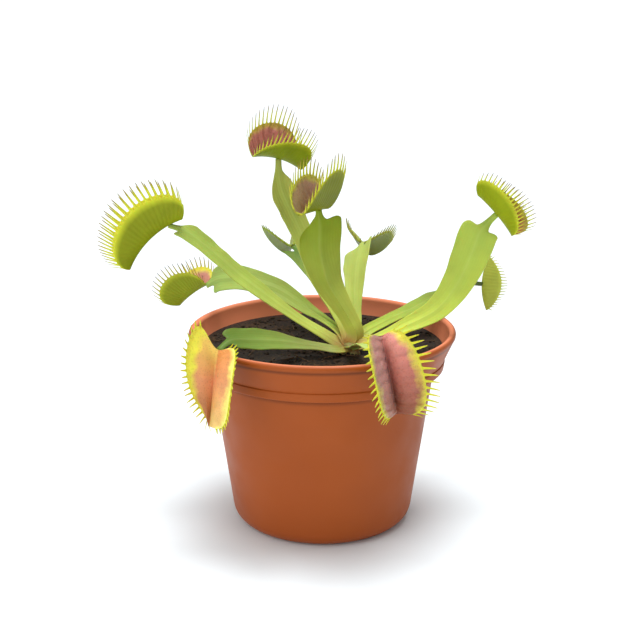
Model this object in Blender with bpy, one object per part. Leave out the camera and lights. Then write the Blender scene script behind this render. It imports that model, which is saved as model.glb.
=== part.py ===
"""A Venus flytrap in a round nursery pot: pot, soil, rootstock, and ten leaves, each a petiole and its trap.

All sizes are millimetres and all angles are degrees; the meshes are made in metres. The origin is the
centre of the pot's underside, +Z is up and -Y is the side that the plant is shown from.
"""

import math

import bmesh
import bpy
from mathutils import Vector, noise

MM = 0.001
GAP = 0.35
SHARP_ANGLE = 40.0

# Pot: a thin moulded shell, turned about the Z axis.
POT_RIM_RADIUS = 45.0
POT_HEIGHT = 67.3
LIP_WIDTH = 2.4
LIP_PROUD = 0.5
LIP_STEPS = 4
BAND_FOOT_RADIUS = 41.2
BEAD_TOP = 57.5
BEAD_PROUD = 0.3
LEDGE_HEIGHT = 54.4
LEDGE_CHAMFER = 0.6
BODY_TOP_RADIUS = 38.0
BODY_FOOT_RADIUS = 30.2
HEEL_RADIUS = 5.8
HEEL_STEPS = 4
HEEL_ARC = (-90.0, -6.0)
INNER_HEEL = 3.2
WALL = 1.2
FLOOR = 1.6
RECESS_DEPTH = 0.6
RECESS_INNER_RADIUS = 9.0
RECESS_OUTER_RADIUS = 21.0
STEPS = 40
DRAIN_HOLES = 6
DRAIN_HOLE_RADIUS = 2.5
DRAIN_HOLE_STEPS = 12
DRAIN_RING_RADIUS = 15.0

# Soil: fills the pot to a little under the lip, with a pocket for the rootstock.
SOIL_TOP = 61.2
SOIL_RELIEF = 0.9
COARSE_CRUMB = 11.0
FINE_CRUMB = 3.2
SOIL_RINGS = (0.0, 0.1, 0.24, 0.42, 0.62, 0.82, 1.0)

# Rootstock: a short bulb of old leaf bases with a few straight roots.
CROWN = Vector((9.0, -9.5, 61.5))
BULB_RADIUS = 4.6
BULB_DEPTH = 17.0
BULB_STEPS = 12
ROOT_TIP_RADIUS = 0.5
ROOT_RADIUS = 1.1
ROOT_LENGTH = 24.0
ROOT_TOP = -12.0
ROOTS = 4
ROOT_SPREAD = 14.0
ROOT_STEPS = 8
ROOT_OFFSET = 1.6
ROOT_TURN = 0.25
FOOT_START = 1.6
CROWN_LIFT = Vector((0, 0, 1.5))

# Petiole: a winged ribbon that ends in two shoulders with a narrow neck between them.
PETIOLE_EDGE = 0.8
PETIOLE_MIDRIB = 1.7
MIDRIB_SHARE = 0.5
NECK_HALF_WIDTH = 1.1
NECK_THICKNESS = 1.5
NECK_COLUMN = 0.34
NECK_ROWS = 2
FOOT_ACROSS = (-1.0, -0.5, 0.0, 0.5, 1.0)
ACROSS = (-1.0, -0.67, -NECK_COLUMN, NECK_COLUMN, 0.67, 1.0)
PETIOLE_ROWS = 11
FOOT_ROWS = 4
ROUTE_STEPS = 12
ROUTE_EASE = 3
SHOULDER_START = 0.6
WIDEN_START = 0.05
WIDEN_SPAN = 0.85
UPPER_SHARE = 0.35
WAVE_HEIGHT = 0.35
WAVE_LENGTH = 37.0
CORNER_EASE = 0.8
CORNER_START = 0.6
CORNER_ROUND = 1.4

# Trap: two lobes hinged on a midrib, with a row of teeth along each margin.
LOBE_EDGE = 0.8
LOBE_CLEARANCE = 0.2
LOBE_ROWS = (0.0, 0.26, 0.66, 1.0)
PAD_END = 0.92
HINGE_SHARE = 0.09
SECTION_STEPS = 80
LOBE_CURL = 16.0
LAST_STATION = 0.98
END_SPAN = 0.12
END_STEPS = 200
END_SPANS = 3
BARE_SHARE = 0.25
END_LENGTH = 1.2
MARGIN_STEPS = 200
PAD_FULLNESS = 0.7
TOOTH_FAN = 0.985
TOOTH_GATHER = 0.7
SHORTEST_TOOTH = 0.6
NUDGE = 0.002

# Each leaf: its route from the crown to its trap, the way its upper face looks at both ends, its width at
# the base and near its shoulders, how far its edges rise, how far its two corners reach past the blade's end,
# how far its foot is part of the rootstock, the length of its neck and how far before the trap's hinge it
# stops, and its trap with its two lobes.
LEAVES = {
    "far_left": {
        "route": [(5, -9.2, 64.3), (0, -8, 67.2), (-7.4, -7.5, 71.7), (-14, -8, 76.6), (-19.9, -8.5, 81.3),
                  (-27.5, -9, 87.4), (-35.4, -10, 95), (-43.8, -10.5, 102), (-49.2, -11, 104.2)],
        "face": [(0.5, -0.45, 0.75), (0.3, -0.55, 0.75)],
        "base": 4.8, "width": 7.6, "camber": 0.1, "corners": (2.0, -3.2),
        "sheath": 6.5, "neck": 3.2, "stop": 1.65,
        "trap": {
            "midrib": (-0.71, -0.19, -0.66), "gape": (-0.70, -0.12, 0.70), "length": 24.0,
            "bend": 27, "attach": -0.62, "teeth": 22, "tooth": 7.0,
            "lobes": [
                {"opening": 17, "depth": 12.0, "fan": (28, 22), "ends": (0.33, 0.48),
                 "pad": 0.9, "splay": 0.0},
                {"opening": 17, "depth": 12.0, "fan": (28, 22), "ends": (0.33, 0.48),
                 "pad": 0.9, "splay": 0.0},
            ],
        },
    },
    "mid_left": {
        "route": [(5.9, -4.9, 67), (0.2, 0.4, 70), (-4.6, 4.6, 71.9), (-14.2, 10, 77.3), (-21.7, 13, 79.4),
                  (-28.9, 16, 80.4), (-36.2, 18.5, 79.4), (-40.6, 20, 76.8)],
        "face": [(0.4, -0.4, 0.8), (-0.15, -0.85, 0.45)],
        "base": 4.6, "width": 9.0, "camber": 0.08, "corners": (1.5, -1.8),
        "sheath": 8.5, "neck": 2.6, "stop": 0.85,
        "trap": {
            "midrib": (-0.76, 0.22, -0.61), "gape": (-0.55, 0.34, 0.77), "length": 13.5,
            "bend": 15, "attach": -1.0, "teeth": 19, "tooth": 4.6,
            "lobes": [
                {"opening": 33, "depth": 10.8, "fan": (45, 38), "ends": (0.4, 0.4),
                 "pad": 0.8, "splay": 0.0},
                {"opening": 33, "depth": 10.6, "fan": (28, 38), "ends": (0.6, 0.38),
                 "pad": 0.8, "splay": 0.0},
            ],
        },
    },
    "front_left": {
        "route": [(5, -13.8, 63.3), (-1, -14.8, 64.6), (-7, -17.5, 66.2), (-15.1, -22.5, 68.8),
                  (-23.4, -28, 70.8), (-28.6, -32.6, 71.9), (-31.8, -36.4, 70.3)],
        "face": [(0.1, -0.3, 0.95), (-0.15, -0.7, 0.7)],
        "base": 4.6, "width": 9.0, "camber": 0.1, "corners": (0.5, 0.5),
        "sheath": 6.0, "neck": 5.0, "stop": 0.8,
        "trap": {
            "midrib": (-0.14, -0.10, -0.98), "gape": (-0.34, -0.92, 0.12), "length": 24.5,
            "bend": 6, "attach": -1.0, "teeth": 20, "tooth": 5.4,
            "lobes": [
                {"opening": 42, "depth": 11.9, "fan": (88, 5), "ends": (0.2, 1.2),
                 "pad": 1.3, "splay": -0.6},
                {"opening": 48, "depth": 12.2, "fan": (88, 4), "ends": (0.48, 0.48),
                 "pad": 1.3, "splay": 0.2},
            ],
        },
    },
    "front_right": {
        "route": [(10, -13.4, 64), (10.9, -20, 66.4), (12.9, -29, 69.8), (15.4, -37, 72),
                  (17.6, -41.6, 71.8), (18.9, -44.6, 70.6)],
        "face": [(0.0, -0.2, 0.98), (0.1, -0.5, 0.86)],
        "base": 4.6, "width": 8.5, "camber": 0.08, "corners": (0.5, 0.5),
        "sheath": 6.5, "neck": 5.0, "stop": 0.9,
        "trap": {
            "midrib": (0.20, -0.06, -0.97), "gape": (0.33, -0.94, 0.05), "length": 25,
            "bend": 10, "attach": -0.48, "teeth": 18, "tooth": 6.2,
            "lobes": [
                {"opening": 40, "depth": 11.6, "fan": (40, 12), "ends": (0.36, 0.45),
                 "pad": 1.5, "splay": 0.9},
                {"opening": 40, "depth": 11.8, "fan": (42, 14), "ends": (0.42, 0.34),
                 "pad": 3.0, "splay": 0.45},
            ],
        },
    },
    "centre": {
        "route": [(11.2, -9.2, 66.8), (9.0, -9.4, 72.6), (3.2, -10.6, 82.7), (1.0, -12, 88.2),
                  (-0.7, -13.4, 97.1), (-0.7, -15.4, 104.4), (-1.2, -16.8, 110.2)],
        "face": [(-0.3, 0.9, 0.3), (0.1, 0.95, 0.2)],
        "base": 5.6, "width": 13.4, "camber": 0.14, "corners": (1.2, -6.4),
        "sheath": 6.5, "neck": 3.2, "stop": 0.6,
        "trap": {
            "midrib": (-0.55, -0.83, 0.0), "gape": (0.10, -0.06, 0.99), "length": 15,
            "bend": 8, "attach": -0.45, "teeth": 18, "tooth": 6.0,
            "lobes": [
                {"opening": 18, "depth": 12.0, "fan": (20, 20), "ends": (0.4, 0.5),
                 "pad": 1.0, "splay": 0.0},
                {"opening": 17, "depth": 15.6, "fan": (8, 20), "ends": (0.5, 1.0),
                 "pad": 0.9, "splay": 0.0},
            ],
        },
    },
    "tall": {
        "route": [(7.6, -5.6, 68.2), (4.6, -1.4, 73.4), (0.8, 2.5, 79), (-2.4, 5, 84.4), (-4.6, 7, 91),
                  (-6.8, 9, 97), (-10.0, 11, 103.8), (-13.4, 12, 111), (-14.6, 13, 116.6),
                  (-14.8, 13.3, 122.2)],
        "face": [(0.3, -0.9, 0.3), (0.25, -0.95, 0.15)],
        "base": 4.2, "width": 8.2, "camber": 0.12, "corners": (-7.0, -3.4),
        "sheath": 8.6, "neck": 4.0, "stop": 0.75,
        "trap": {
            "midrib": (-0.86, -0.40, 0.29), "gape": (0.08, -0.22, 0.97), "length": 18.6,
            "bend": 24, "attach": -0.02, "teeth": 21, "tooth": 7.0,
            "lobes": [
                {"opening": 36, "depth": 12.7, "fan": (-20, 14), "ends": (0.5, 0.42),
                 "pad": 1.0, "splay": 0.0},
                {"opening": 38, "depth": 12.0, "fan": (-24, 14), "ends": (0.26, 0.55),
                 "pad": 1.0, "splay": 0.0},
            ],
        },
    },
    "back": {
        "route": [(11.2, -3.6, 69.3), (11.0, 0.4, 74.0), (11, 4.4, 79), (11.6, 9.6, 85.4), (12.6, 13.6, 89.6),
                  (13.3, 16.8, 91.4), (13.9, 20, 91.9)],
        "face": [(0.0, -0.8, 0.6), (-0.5, -0.6, 0.6)],
        "base": 3.8, "width": 9.2, "camber": 0.12, "corners": (-3.2, 4.4),
        "sheath": 8.5, "neck": 3.6, "stop": 0.45,
        "trap": {
            "midrib": (0.27, 0.80, -0.54), "gape": (0.13, 0.1, 0.98), "length": 12,
            "bend": 15, "attach": -1.0, "teeth": 18, "tooth": 3.6,
            "lobes": [
                {"opening": 46, "depth": 10.4, "fan": (14, 14), "ends": (0.6, 0.6),
                 "pad": 0.6, "splay": 0.0},
                {"opening": 52, "depth": 11, "fan": (22, 22), "ends": (0.9, 0.9),
                 "pad": 0.6, "splay": 0.0},
            ],
        },
    },
    "back_left": {
        "route": [(8.8, -3.6, 67.6), (6.0, 1.6, 70.6), (2.4, 8, 75.4), (-1, 15.6, 81.2), (-5.2, 22.6, 85.6),
                  (-8.4, 28, 87.8), (-10.4, 31.6, 88.2)],
        "face": [(0.2, -0.7, 0.7), (0.1, -0.8, 0.6)],
        "base": 3.8, "width": 10.0, "camber": 0.1, "corners": (4.5, 0.5),
        "sheath": 8.8, "neck": 4.0, "stop": 0.45,
        "trap": {
            "midrib": (-0.20, 0.87, -0.42), "gape": (-0.35, 0.1, 0.92), "length": 10.5,
            "bend": 15, "attach": -1.0, "teeth": 17, "tooth": 2.2,
            "lobes": [
                {"opening": 34, "depth": 10.5, "fan": (28, 28), "ends": (0.9, 0.9),
                 "pad": 0.6, "splay": 0.0},
                {"opening": 26, "depth": 12.0, "fan": (4, 4), "ends": (0.9, 0.9),
                 "pad": 0.6, "splay": 0.0},
            ],
        },
    },
    "right": {
        "route": [(14.4, -10.6, 64.6), (20, -9.8, 66.6), (26.4, -8.8, 69.4), (33, -8.2, 72.4), (38, -8, 75.6),
                  (42.4, -8, 80.9), (46, -8, 87.4), (49.2, -8, 95.6), (51.2, -7, 101), (54.0, -6, 104.4),
                  (56.4, -6, 106.8)],
        "face": [(-0.3, -0.6, 0.75), (-0.45, -0.85, 0.25)],
        "base": 4.6, "width": 13.0, "camber": 0.1, "corners": (0.0, 1.0),
        "sheath": 8.0, "neck": 6.2, "stop": 0.4,
        "trap": {
            "midrib": (0.64, -0.20, -0.74), "gape": (0.70, -0.40, 0.62), "length": 17.0,
            "bend": 12, "attach": 0.0, "teeth": 21, "tooth": 4.6,
            "lobes": [
                {"opening": 22, "depth": 9.9, "fan": (36, 14), "ends": (0.22, 0.5),
                 "pad": 0.8, "splay": 0.0},
                {"opening": 8, "depth": 8.0, "fan": (24, 18), "ends": (0.5, 0.28),
                 "pad": 0.8, "splay": 0.0},
            ],
        },
    },
    "right_back": {
        "route": [(14.2, -5.4, 66.8), (19, -0.8, 68.2), (24, 3.8, 69.4), (30, 9, 70.6), (37, 13.5, 73),
                  (44.4, 17, 76), (50.5, 20, 77.6), (56.4, 22.4, 76.8)],
        "face": [(-0.6, -1.8, 2.0), (0.0, 0.7, 0.7)],
        "base": 4.2, "width": 9.5, "camber": 0.1, "corners": (-2.0, 4.0),
        "sheath": 8.2, "neck": 6.0, "stop": 0.5,
        "trap": {
            "midrib": (-0.02, -0.06, -0.99), "gape": (0.93, 0.36, 0.0), "length": 20,
            "bend": -24, "attach": 0.0, "teeth": 20, "tooth": 2.6,
            "lobes": [
                {"opening": 28, "depth": 7.0, "fan": (4, 4), "ends": (0.7, 0.7),
                 "pad": 0.2, "splay": 0.0},
                {"opening": 28, "depth": 7.0, "fan": (4, 4), "ends": (0.7, 0.7),
                 "pad": 0.2, "splay": 0.0},
            ],
        },
    },
}


def clear_scene():
    for obj in list(bpy.data.objects):
        bpy.data.objects.remove(obj, do_unlink=True)


def material(name, colour, roughness):
    made = bpy.data.materials.new(name)
    made.use_nodes = True
    shader = made.node_tree.nodes["Principled BSDF"]
    shader.inputs["Base Color"].default_value = (*colour, 1.0)
    shader.inputs["Roughness"].default_value = roughness
    shader.inputs["Metallic"].default_value = 0.0
    return made


def add_object(name, bm, look, collection=None):
    """Turns a bmesh drawn in millimetres into a named object in metres, smooth but for its sharp edges."""
    bmesh.ops.scale(bm, vec=(MM, MM, MM), verts=bm.verts)
    mesh = bpy.data.meshes.new(name)
    bm.to_mesh(mesh)
    bm.free()
    mesh.shade_smooth()
    mesh.set_sharp_from_angle(angle=math.radians(SHARP_ANGLE))
    mesh.materials.append(look)
    obj = bpy.data.objects.new(name, mesh)
    (collection or bpy.context.scene.collection).objects.link(obj)
    return obj


def smoothstep(x):
    x = min(max(x, 0.0), 1.0)
    return x * x * (3 - 2 * x)


def arc(centre, radius, start, end, steps):
    """Points (r, z) along an arc in the turning plane, with both its ends."""
    angles = [math.radians(start + (end - start) * i / steps) for i in range(steps + 1)]
    return [(centre[0] + radius * math.cos(a), centre[1] + radius * math.sin(a)) for a in angles]


def body_radius(z):
    """Outer radius of the pot's tapered body."""
    return BODY_FOOT_RADIUS + (BODY_TOP_RADIUS - BODY_FOOT_RADIUS) * z / LEDGE_HEIGHT


def inner_wall(clearance):
    """The pot's inner face from the lip to the floor, moved inwards by a clearance."""
    band_slope = (POT_RIM_RADIUS - BAND_FOOT_RADIUS) / (POT_HEIGHT - BEAD_TOP)
    step_low = LEDGE_HEIGHT - WALL
    step_high = LEDGE_HEIGHT + WALL
    lip = POT_RIM_RADIUS - LIP_WIDTH
    return [
        (lip - clearance, POT_HEIGHT - LIP_WIDTH / 2),
        (lip - clearance, POT_HEIGHT - LIP_WIDTH),
        (lip - clearance - band_slope * (POT_HEIGHT - LIP_WIDTH - step_high), step_high),
        (body_radius(step_low) - WALL - clearance, step_low),
        (body_radius(HEEL_RADIUS) - WALL - clearance, HEEL_RADIUS),
        (body_radius(FLOOR) - WALL - INNER_HEEL - clearance, FLOOR + clearance),
    ]


def turned(profile, steps):
    """A closed solid of revolution about Z from a profile (r, z) that starts and ends on the axis."""
    bm = bmesh.new()
    verts = [bm.verts.new((r, 0, z)) for r, z in profile]
    edges = [bm.edges.new(pair) for pair in zip(verts, verts[1:])]
    bmesh.ops.spin(bm, geom=verts + edges, cent=(0, 0, 0), axis=(0, 0, 1), angle=math.tau, steps=steps,
                   use_merge=True)
    bmesh.ops.remove_doubles(bm, verts=bm.verts, dist=0.001)
    bmesh.ops.recalc_face_normals(bm, faces=bm.faces)
    return bm


def make_pot(look):
    heel_centre = (body_radius(HEEL_RADIUS) - HEEL_RADIUS, HEEL_RADIUS)
    lip_radius = LIP_WIDTH / 2
    profile = [
        (0, 0),
        (RECESS_INNER_RADIUS, 0),
        (RECESS_INNER_RADIUS + RECESS_DEPTH, RECESS_DEPTH),
        (RECESS_OUTER_RADIUS, RECESS_DEPTH),
        (RECESS_OUTER_RADIUS + RECESS_DEPTH, 0),
        *arc(heel_centre, HEEL_RADIUS, *HEEL_ARC, HEEL_STEPS),
        (BODY_TOP_RADIUS, LEDGE_HEIGHT - LEDGE_CHAMFER),
        (BAND_FOOT_RADIUS, LEDGE_HEIGHT),
        (BAND_FOOT_RADIUS + BEAD_PROUD, BEAD_TOP - BEAD_PROUD),
        (BAND_FOOT_RADIUS, BEAD_TOP),
        (POT_RIM_RADIUS - LIP_PROUD, POT_HEIGHT - LIP_WIDTH),
        *arc((POT_RIM_RADIUS - lip_radius, POT_HEIGHT - lip_radius), lip_radius, 0, 180, LIP_STEPS),
        *inner_wall(0)[1:],
        (0, FLOOR),
    ]
    pot = add_object("pot", turned(profile, STEPS), look)
    for i in range(DRAIN_HOLES):
        angle = math.tau * (i + 0.5) / DRAIN_HOLES
        bm = bmesh.new()
        bmesh.ops.create_cone(bm, cap_ends=True, segments=DRAIN_HOLE_STEPS, radius1=DRAIN_HOLE_RADIUS,
                              radius2=DRAIN_HOLE_RADIUS, depth=4 * FLOOR)
        centre = (DRAIN_RING_RADIUS * math.cos(angle), DRAIN_RING_RADIUS * math.sin(angle), 0)
        bmesh.ops.translate(bm, verts=bm.verts, vec=centre)
        cutter = add_object(f"drain_cutter_{i}", bm, look)
        cut_with(pot, cutter, f"drain_{i}")


def cut_with(obj, cutter, name):
    cutter.hide_render = True
    cutter.display_type = "WIRE"
    cut = obj.modifiers.new(name, "BOOLEAN")
    cut.operation = "DIFFERENCE"
    cut.object = cutter


def soil_height(x, y):
    """Crumbly relief of the soil's surface, from two sizes of noise."""
    coarse = noise.noise(Vector((x, y, 0)) / COARSE_CRUMB)
    fine = noise.noise(Vector((x, y, 0)) / FINE_CRUMB)
    return SOIL_TOP + SOIL_RELIEF * (coarse + fine / 2)


def make_soil(look):
    """Rings run from the pocket's floor up its wall, out over the surface and down the pot to its floor."""
    wall = inner_wall(GAP)
    upper, lower = wall[1], wall[2]
    surface_share = (SOIL_TOP - lower[1]) / (upper[1] - lower[1])
    surface_radius = lower[0] + (upper[0] - lower[0]) * surface_share
    pocket_radius = BULB_RADIUS + GAP

    def ring(kind, value):
        points = []
        for i in range(STEPS):
            angle = math.tau * i / STEPS
            way = Vector((math.cos(angle), math.sin(angle), 0))
            if kind == "pocket":
                point = Vector((CROWN.x, CROWN.y, 0)) + way * pocket_radius
                point.z = value
            elif kind == "surface":
                near = Vector((CROWN.x, CROWN.y, 0)) + way * pocket_radius
                point = near.lerp(way * surface_radius, value)
                point.z = SOIL_TOP if value == 1.0 else soil_height(point.x, point.y)
            else:
                point = way * value[0]
                point.z = value[1]
            points.append(point)
        return points

    rings = [ring("pocket", CROWN.z - BULB_DEPTH - GAP)]
    rings += [ring("surface", share) for share in SOIL_RINGS]
    rings += [ring("wall", corner) for corner in wall[2:]]
    bm = bmesh.new()
    loops = []
    for points in rings:
        verts = [bm.verts.new(p) for p in points]
        loops.append([bm.edges.new((verts[i], verts[(i + 1) % STEPS])) for i in range(STEPS)])
    for low, high in zip(loops, loops[1:]):
        bmesh.ops.bridge_loops(bm, edges=low + high)
    for loop in (loops[0], loops[-1]):
        bmesh.ops.contextual_create(bm, geom=loop)
    bmesh.ops.recalc_face_normals(bm, faces=bm.faces)
    return add_object("soil", bm, look)


def leaf_route(leaf):
    """A smooth curve from the crown through a leaf's points, as close positions and their distances."""
    points = [CROWN + CROWN_LIFT] + [Vector(p) for p in leaf["route"]]
    ends = [points[0] * 2 - points[1], *points, points[-1] * 2 - points[-2]]
    dense = []
    for a, b, c, d in zip(ends, ends[1:], ends[2:], ends[3:]):
        for i in range(ROUTE_STEPS):
            t = i / ROUTE_STEPS
            bend = (2 * a - 5 * b + 4 * c - d) * t * t + (3 * b - a - 3 * c + d) * t ** 3
            dense.append(0.5 * (2 * b + (c - a) * t + bend))
    dense.append(points[-1])
    reach = [0.0]
    for a, b in zip(dense, dense[1:]):
        reach.append(reach[-1] + (b - a).length)
    return dense, reach


def leaf_frame(leaf, route, distance):
    """Position, sideways and face vectors of a leaf at a distance along it, also a little past its end."""
    dense, reach = route
    i = 1
    while i < len(reach) - 1 and reach[i] < distance:
        i += 1
    before, after = max(i - ROUTE_EASE - 1, 0), min(i + ROUTE_EASE, len(dense) - 1)
    way = (dense[after] - dense[before]).normalized()
    span = dense[i] - dense[i - 1]
    point = dense[i - 1] + span * (distance - reach[i - 1]) / (reach[i] - reach[i - 1])
    low, high = (Vector(v) for v in leaf["face"])
    face = low.lerp(high, smoothstep(distance / reach[-1]))
    side = way.cross(face).normalized()
    return point, side, side.cross(way).normalized()


def half_width(leaf, end, distance):
    """Half the width of a petiole: slim at its foot, broadest a little before its shoulders."""
    share = (distance - leaf["sheath"]) / (end - leaf["sheath"])
    full = leaf["base"] + (leaf["width"] - leaf["base"]) * smoothstep((share - WIDEN_START) / WIDEN_SPAN)
    return full / 2


def shoulder(leaf, across):
    """How far a point reaches past the blade's end: nothing at the neck, and rounded off at the corners."""
    out = max(abs(across) - NECK_COLUMN, 0.0) / (1 - NECK_COLUMN)
    rounded = CORNER_ROUND * max(0.0, (out - CORNER_START) / (1 - CORNER_START)) ** 2
    return leaf["corners"][0 if across < 0 else 1] * out ** CORNER_EASE - rounded


def section_points(leaf, route, end, distance, across, lead=0.0):
    """The upper and lower point of a petiole at a distance along it and a share of its half width."""
    point, side, face = leaf_frame(leaf, route, distance + lead)
    half = half_width(leaf, end, distance)
    wave = WAVE_HEIGHT * math.sin(math.tau * distance / WAVE_LENGTH + leaf["width"])
    lift = leaf["camber"] * 2 * half * across * across + wave * across * abs(across)
    thickness = PETIOLE_EDGE + (PETIOLE_MIDRIB - PETIOLE_EDGE) * max(0.0, 1 - abs(across) / MIDRIB_SHARE)
    middle = point + side * half * across + face * lift
    return middle + face * thickness * UPPER_SHARE, middle - face * thickness * (1 - UPPER_SHARE)


def strip(near, far):
    """Triangles between two rows of point numbers. The far row has as many spans, or twice as many."""
    triangles = []
    for j in range(len(near) - 1):
        if len(far) == len(near):
            triangles += [(near[j], far[j], far[j + 1]), (near[j], far[j + 1], near[j + 1])]
        else:
            first, middle, last = far[2 * j:2 * j + 3]
            triangles += [(near[j], first, middle), (near[j], middle, near[j + 1])]
            triangles.append((near[j + 1], middle, last))
    return triangles


def solid_from_sheets(upper, lower, triangles, teeth=()):
    """A closed bmesh from two matching lists of points, with the same triangles between the points of each.

    The rim is closed edge by edge. A rim edge named in teeth, by its two point numbers, is drawn to a tip.
    """
    bm = bmesh.new()
    top = [bm.verts.new(p) for p in upper]
    bottom = [bm.verts.new(p) for p in lower]
    for a, b, c in triangles:
        bm.faces.new((top[a], top[b], top[c]))
        bm.faces.new((bottom[c], bottom[b], bottom[a]))
    partner = dict(zip(top, bottom))
    rims = {}
    for edge in [e for e in bm.edges if e.is_boundary and e.verts[0] in partner]:
        a, b = edge.verts
        rims[frozenset((a, b))] = bm.faces.new((a, b, partner[b], partner[a]))
    bmesh.ops.recalc_face_normals(bm, faces=bm.faces)
    for first, second, tip in teeth:
        rim = rims[frozenset((top[first], top[second]))]
        drawn = bmesh.ops.extrude_discrete_faces(bm, faces=[rim])["faces"][0]
        bmesh.ops.pointmerge(bm, verts=drawn.verts, merge_co=tip)
    return bm


def sheet(rows):
    """Points and triangles of a plain grid given as rows of (upper, lower) points."""
    upper = [pair[0] for row in rows for pair in row]
    lower = [pair[1] for row in rows for pair in row]
    width = len(rows[0])
    numbers = [list(range(i * width, (i + 1) * width)) for i in range(len(rows))]
    triangles = [t for near, far in zip(numbers, numbers[1:]) for t in strip(near, far)]
    return upper, lower, triangles, numbers


def make_petiole(name, leaf, look):
    route = leaf_route(leaf)
    start = leaf["sheath"] + GAP
    end = route[1][-1] - leaf["neck"]
    rows = []
    for i in range(PETIOLE_ROWS):
        share = i / (PETIOLE_ROWS - 1)
        ending = smoothstep((share - SHOULDER_START) / (1 - SHOULDER_START))
        row = []
        for v in ACROSS:
            lead = ending * shoulder(leaf, v)
            row.append(section_points(leaf, route, end, start + (end - start) * share, v, lead))
        rows.append(row)
    upper, lower, triangles, numbers = sheet(rows)
    near = numbers[-1][2:4]
    broad = NECK_COLUMN * half_width(leaf, end, end)
    for i in range(1, NECK_ROWS + 1):
        point, side, face = leaf_frame(leaf, route, end + (leaf["neck"] - leaf["stop"]) * i / NECK_ROWS)
        half = NECK_HALF_WIDTH + (broad - NECK_HALF_WIDTH) * (1 - i / NECK_ROWS) ** 2
        far = [len(upper), len(upper) + 1]
        for sign in (-1, 1):
            edge = point + side * sign * half
            upper.append(edge + face * NECK_THICKNESS * UPPER_SHARE)
            lower.append(edge - face * NECK_THICKNESS * (1 - UPPER_SHARE))
        triangles += strip(near, far)
        near = far
    return add_object(f"petiole_{name}", solid_from_sheets(upper, lower, triangles), look)


def foot(name, leaf, look, collection):
    """The foot of a petiole, from inside the bulb to where the petiole takes over."""
    route = leaf_route(leaf)
    end = route[1][-1] - leaf["neck"]
    rows = []
    for i in range(FOOT_ROWS):
        distance = FOOT_START + (leaf["sheath"] - FOOT_START) * i / (FOOT_ROWS - 1)
        rows.append([section_points(leaf, route, end, distance, v) for v in FOOT_ACROSS])
    return add_object(f"foot_{name}", solid_from_sheets(*sheet(rows)[:3]), look, collection)


def root_cone(index, clearance):
    """A straight tapered root below the bulb; with a clearance it is the hole that the root stands in."""
    bm = bmesh.new()
    bmesh.ops.create_cone(bm, cap_ends=True, segments=ROOT_STEPS, radius1=ROOT_TIP_RADIUS + clearance,
                          radius2=ROOT_RADIUS + clearance, depth=ROOT_LENGTH + 2 * clearance)
    turn = math.tau * (index + ROOT_TURN) / ROOTS
    way = Vector((math.cos(turn), math.sin(turn), 0))
    top = CROWN + way * ROOT_OFFSET + Vector((0, 0, ROOT_TOP))
    for v in bm.verts:
        down = ROOT_LENGTH / 2 - v.co.z
        level = Vector((v.co.x, v.co.y, -down))
        v.co = top + level + way * down * math.tan(math.radians(ROOT_SPREAD))
    return bm


def make_rootstock(look):
    """A bulb with the leaves' feet and the roots joined on by one union."""
    bulge = ((0, -1.0), (0.5, -0.95), (0.92, -0.55), (1.0, -0.2), (0.9, 0.05), (0.5, 0.18), (0, 0.2))
    bm = turned([(r * BULB_RADIUS, z * BULB_DEPTH) for r, z in bulge], BULB_STEPS)
    bmesh.ops.translate(bm, verts=bm.verts, vec=CROWN)
    bulb = add_object("rootstock", bm, look)
    pieces = bpy.data.collections.new("rootstock_pieces")
    bpy.context.scene.collection.children.link(pieces)
    for name, leaf in LEAVES.items():
        foot(name, leaf, look, pieces)
    for i in range(ROOTS):
        add_object(f"root_{i}", root_cone(i, 0.0), look, pieces)
    join = bulb.modifiers.new("feet_and_roots", "BOOLEAN")
    join.operation = "UNION"
    join.operand_type = "COLLECTION"
    join.collection = pieces
    apply_modifiers(bulb)
    for obj in list(pieces.objects):
        bpy.data.objects.remove(obj, do_unlink=True)
    bpy.data.collections.remove(pieces)


def apply_modifiers(obj):
    graph = bpy.context.evaluated_depsgraph_get()
    mesh = bpy.data.meshes.new_from_object(obj.evaluated_get(graph))
    obj.modifiers.clear()
    obj.data = mesh


def lobe_section(lobe):
    """A lobe's section across the trap, as (sideways, outwards) at even steps out to the margin."""
    half, depth = lobe["opening"], lobe["depth"]
    y = z = 0.0
    points = [(0.0, 0.0)]
    for i in range(SECTION_STEPS):
        share = (i + 0.5) / SECTION_STEPS
        at_hinge = math.exp(-share / HINGE_SHARE)
        lean = math.radians(half + LOBE_CURL * (0.5 - share) + (90 - half) * at_hinge)
        y += math.sin(lean) * depth / SECTION_STEPS
        z += math.cos(lean) * depth / SECTION_STEPS
        points.append((y, z))
    return points


def trap_axes(trap):
    midrib = Vector(trap["midrib"]).normalized()
    gape = Vector(trap["gape"])
    gape = (gape - midrib * gape.dot(midrib)).normalized()
    return midrib, gape.cross(midrib).normalized(), gape


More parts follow.
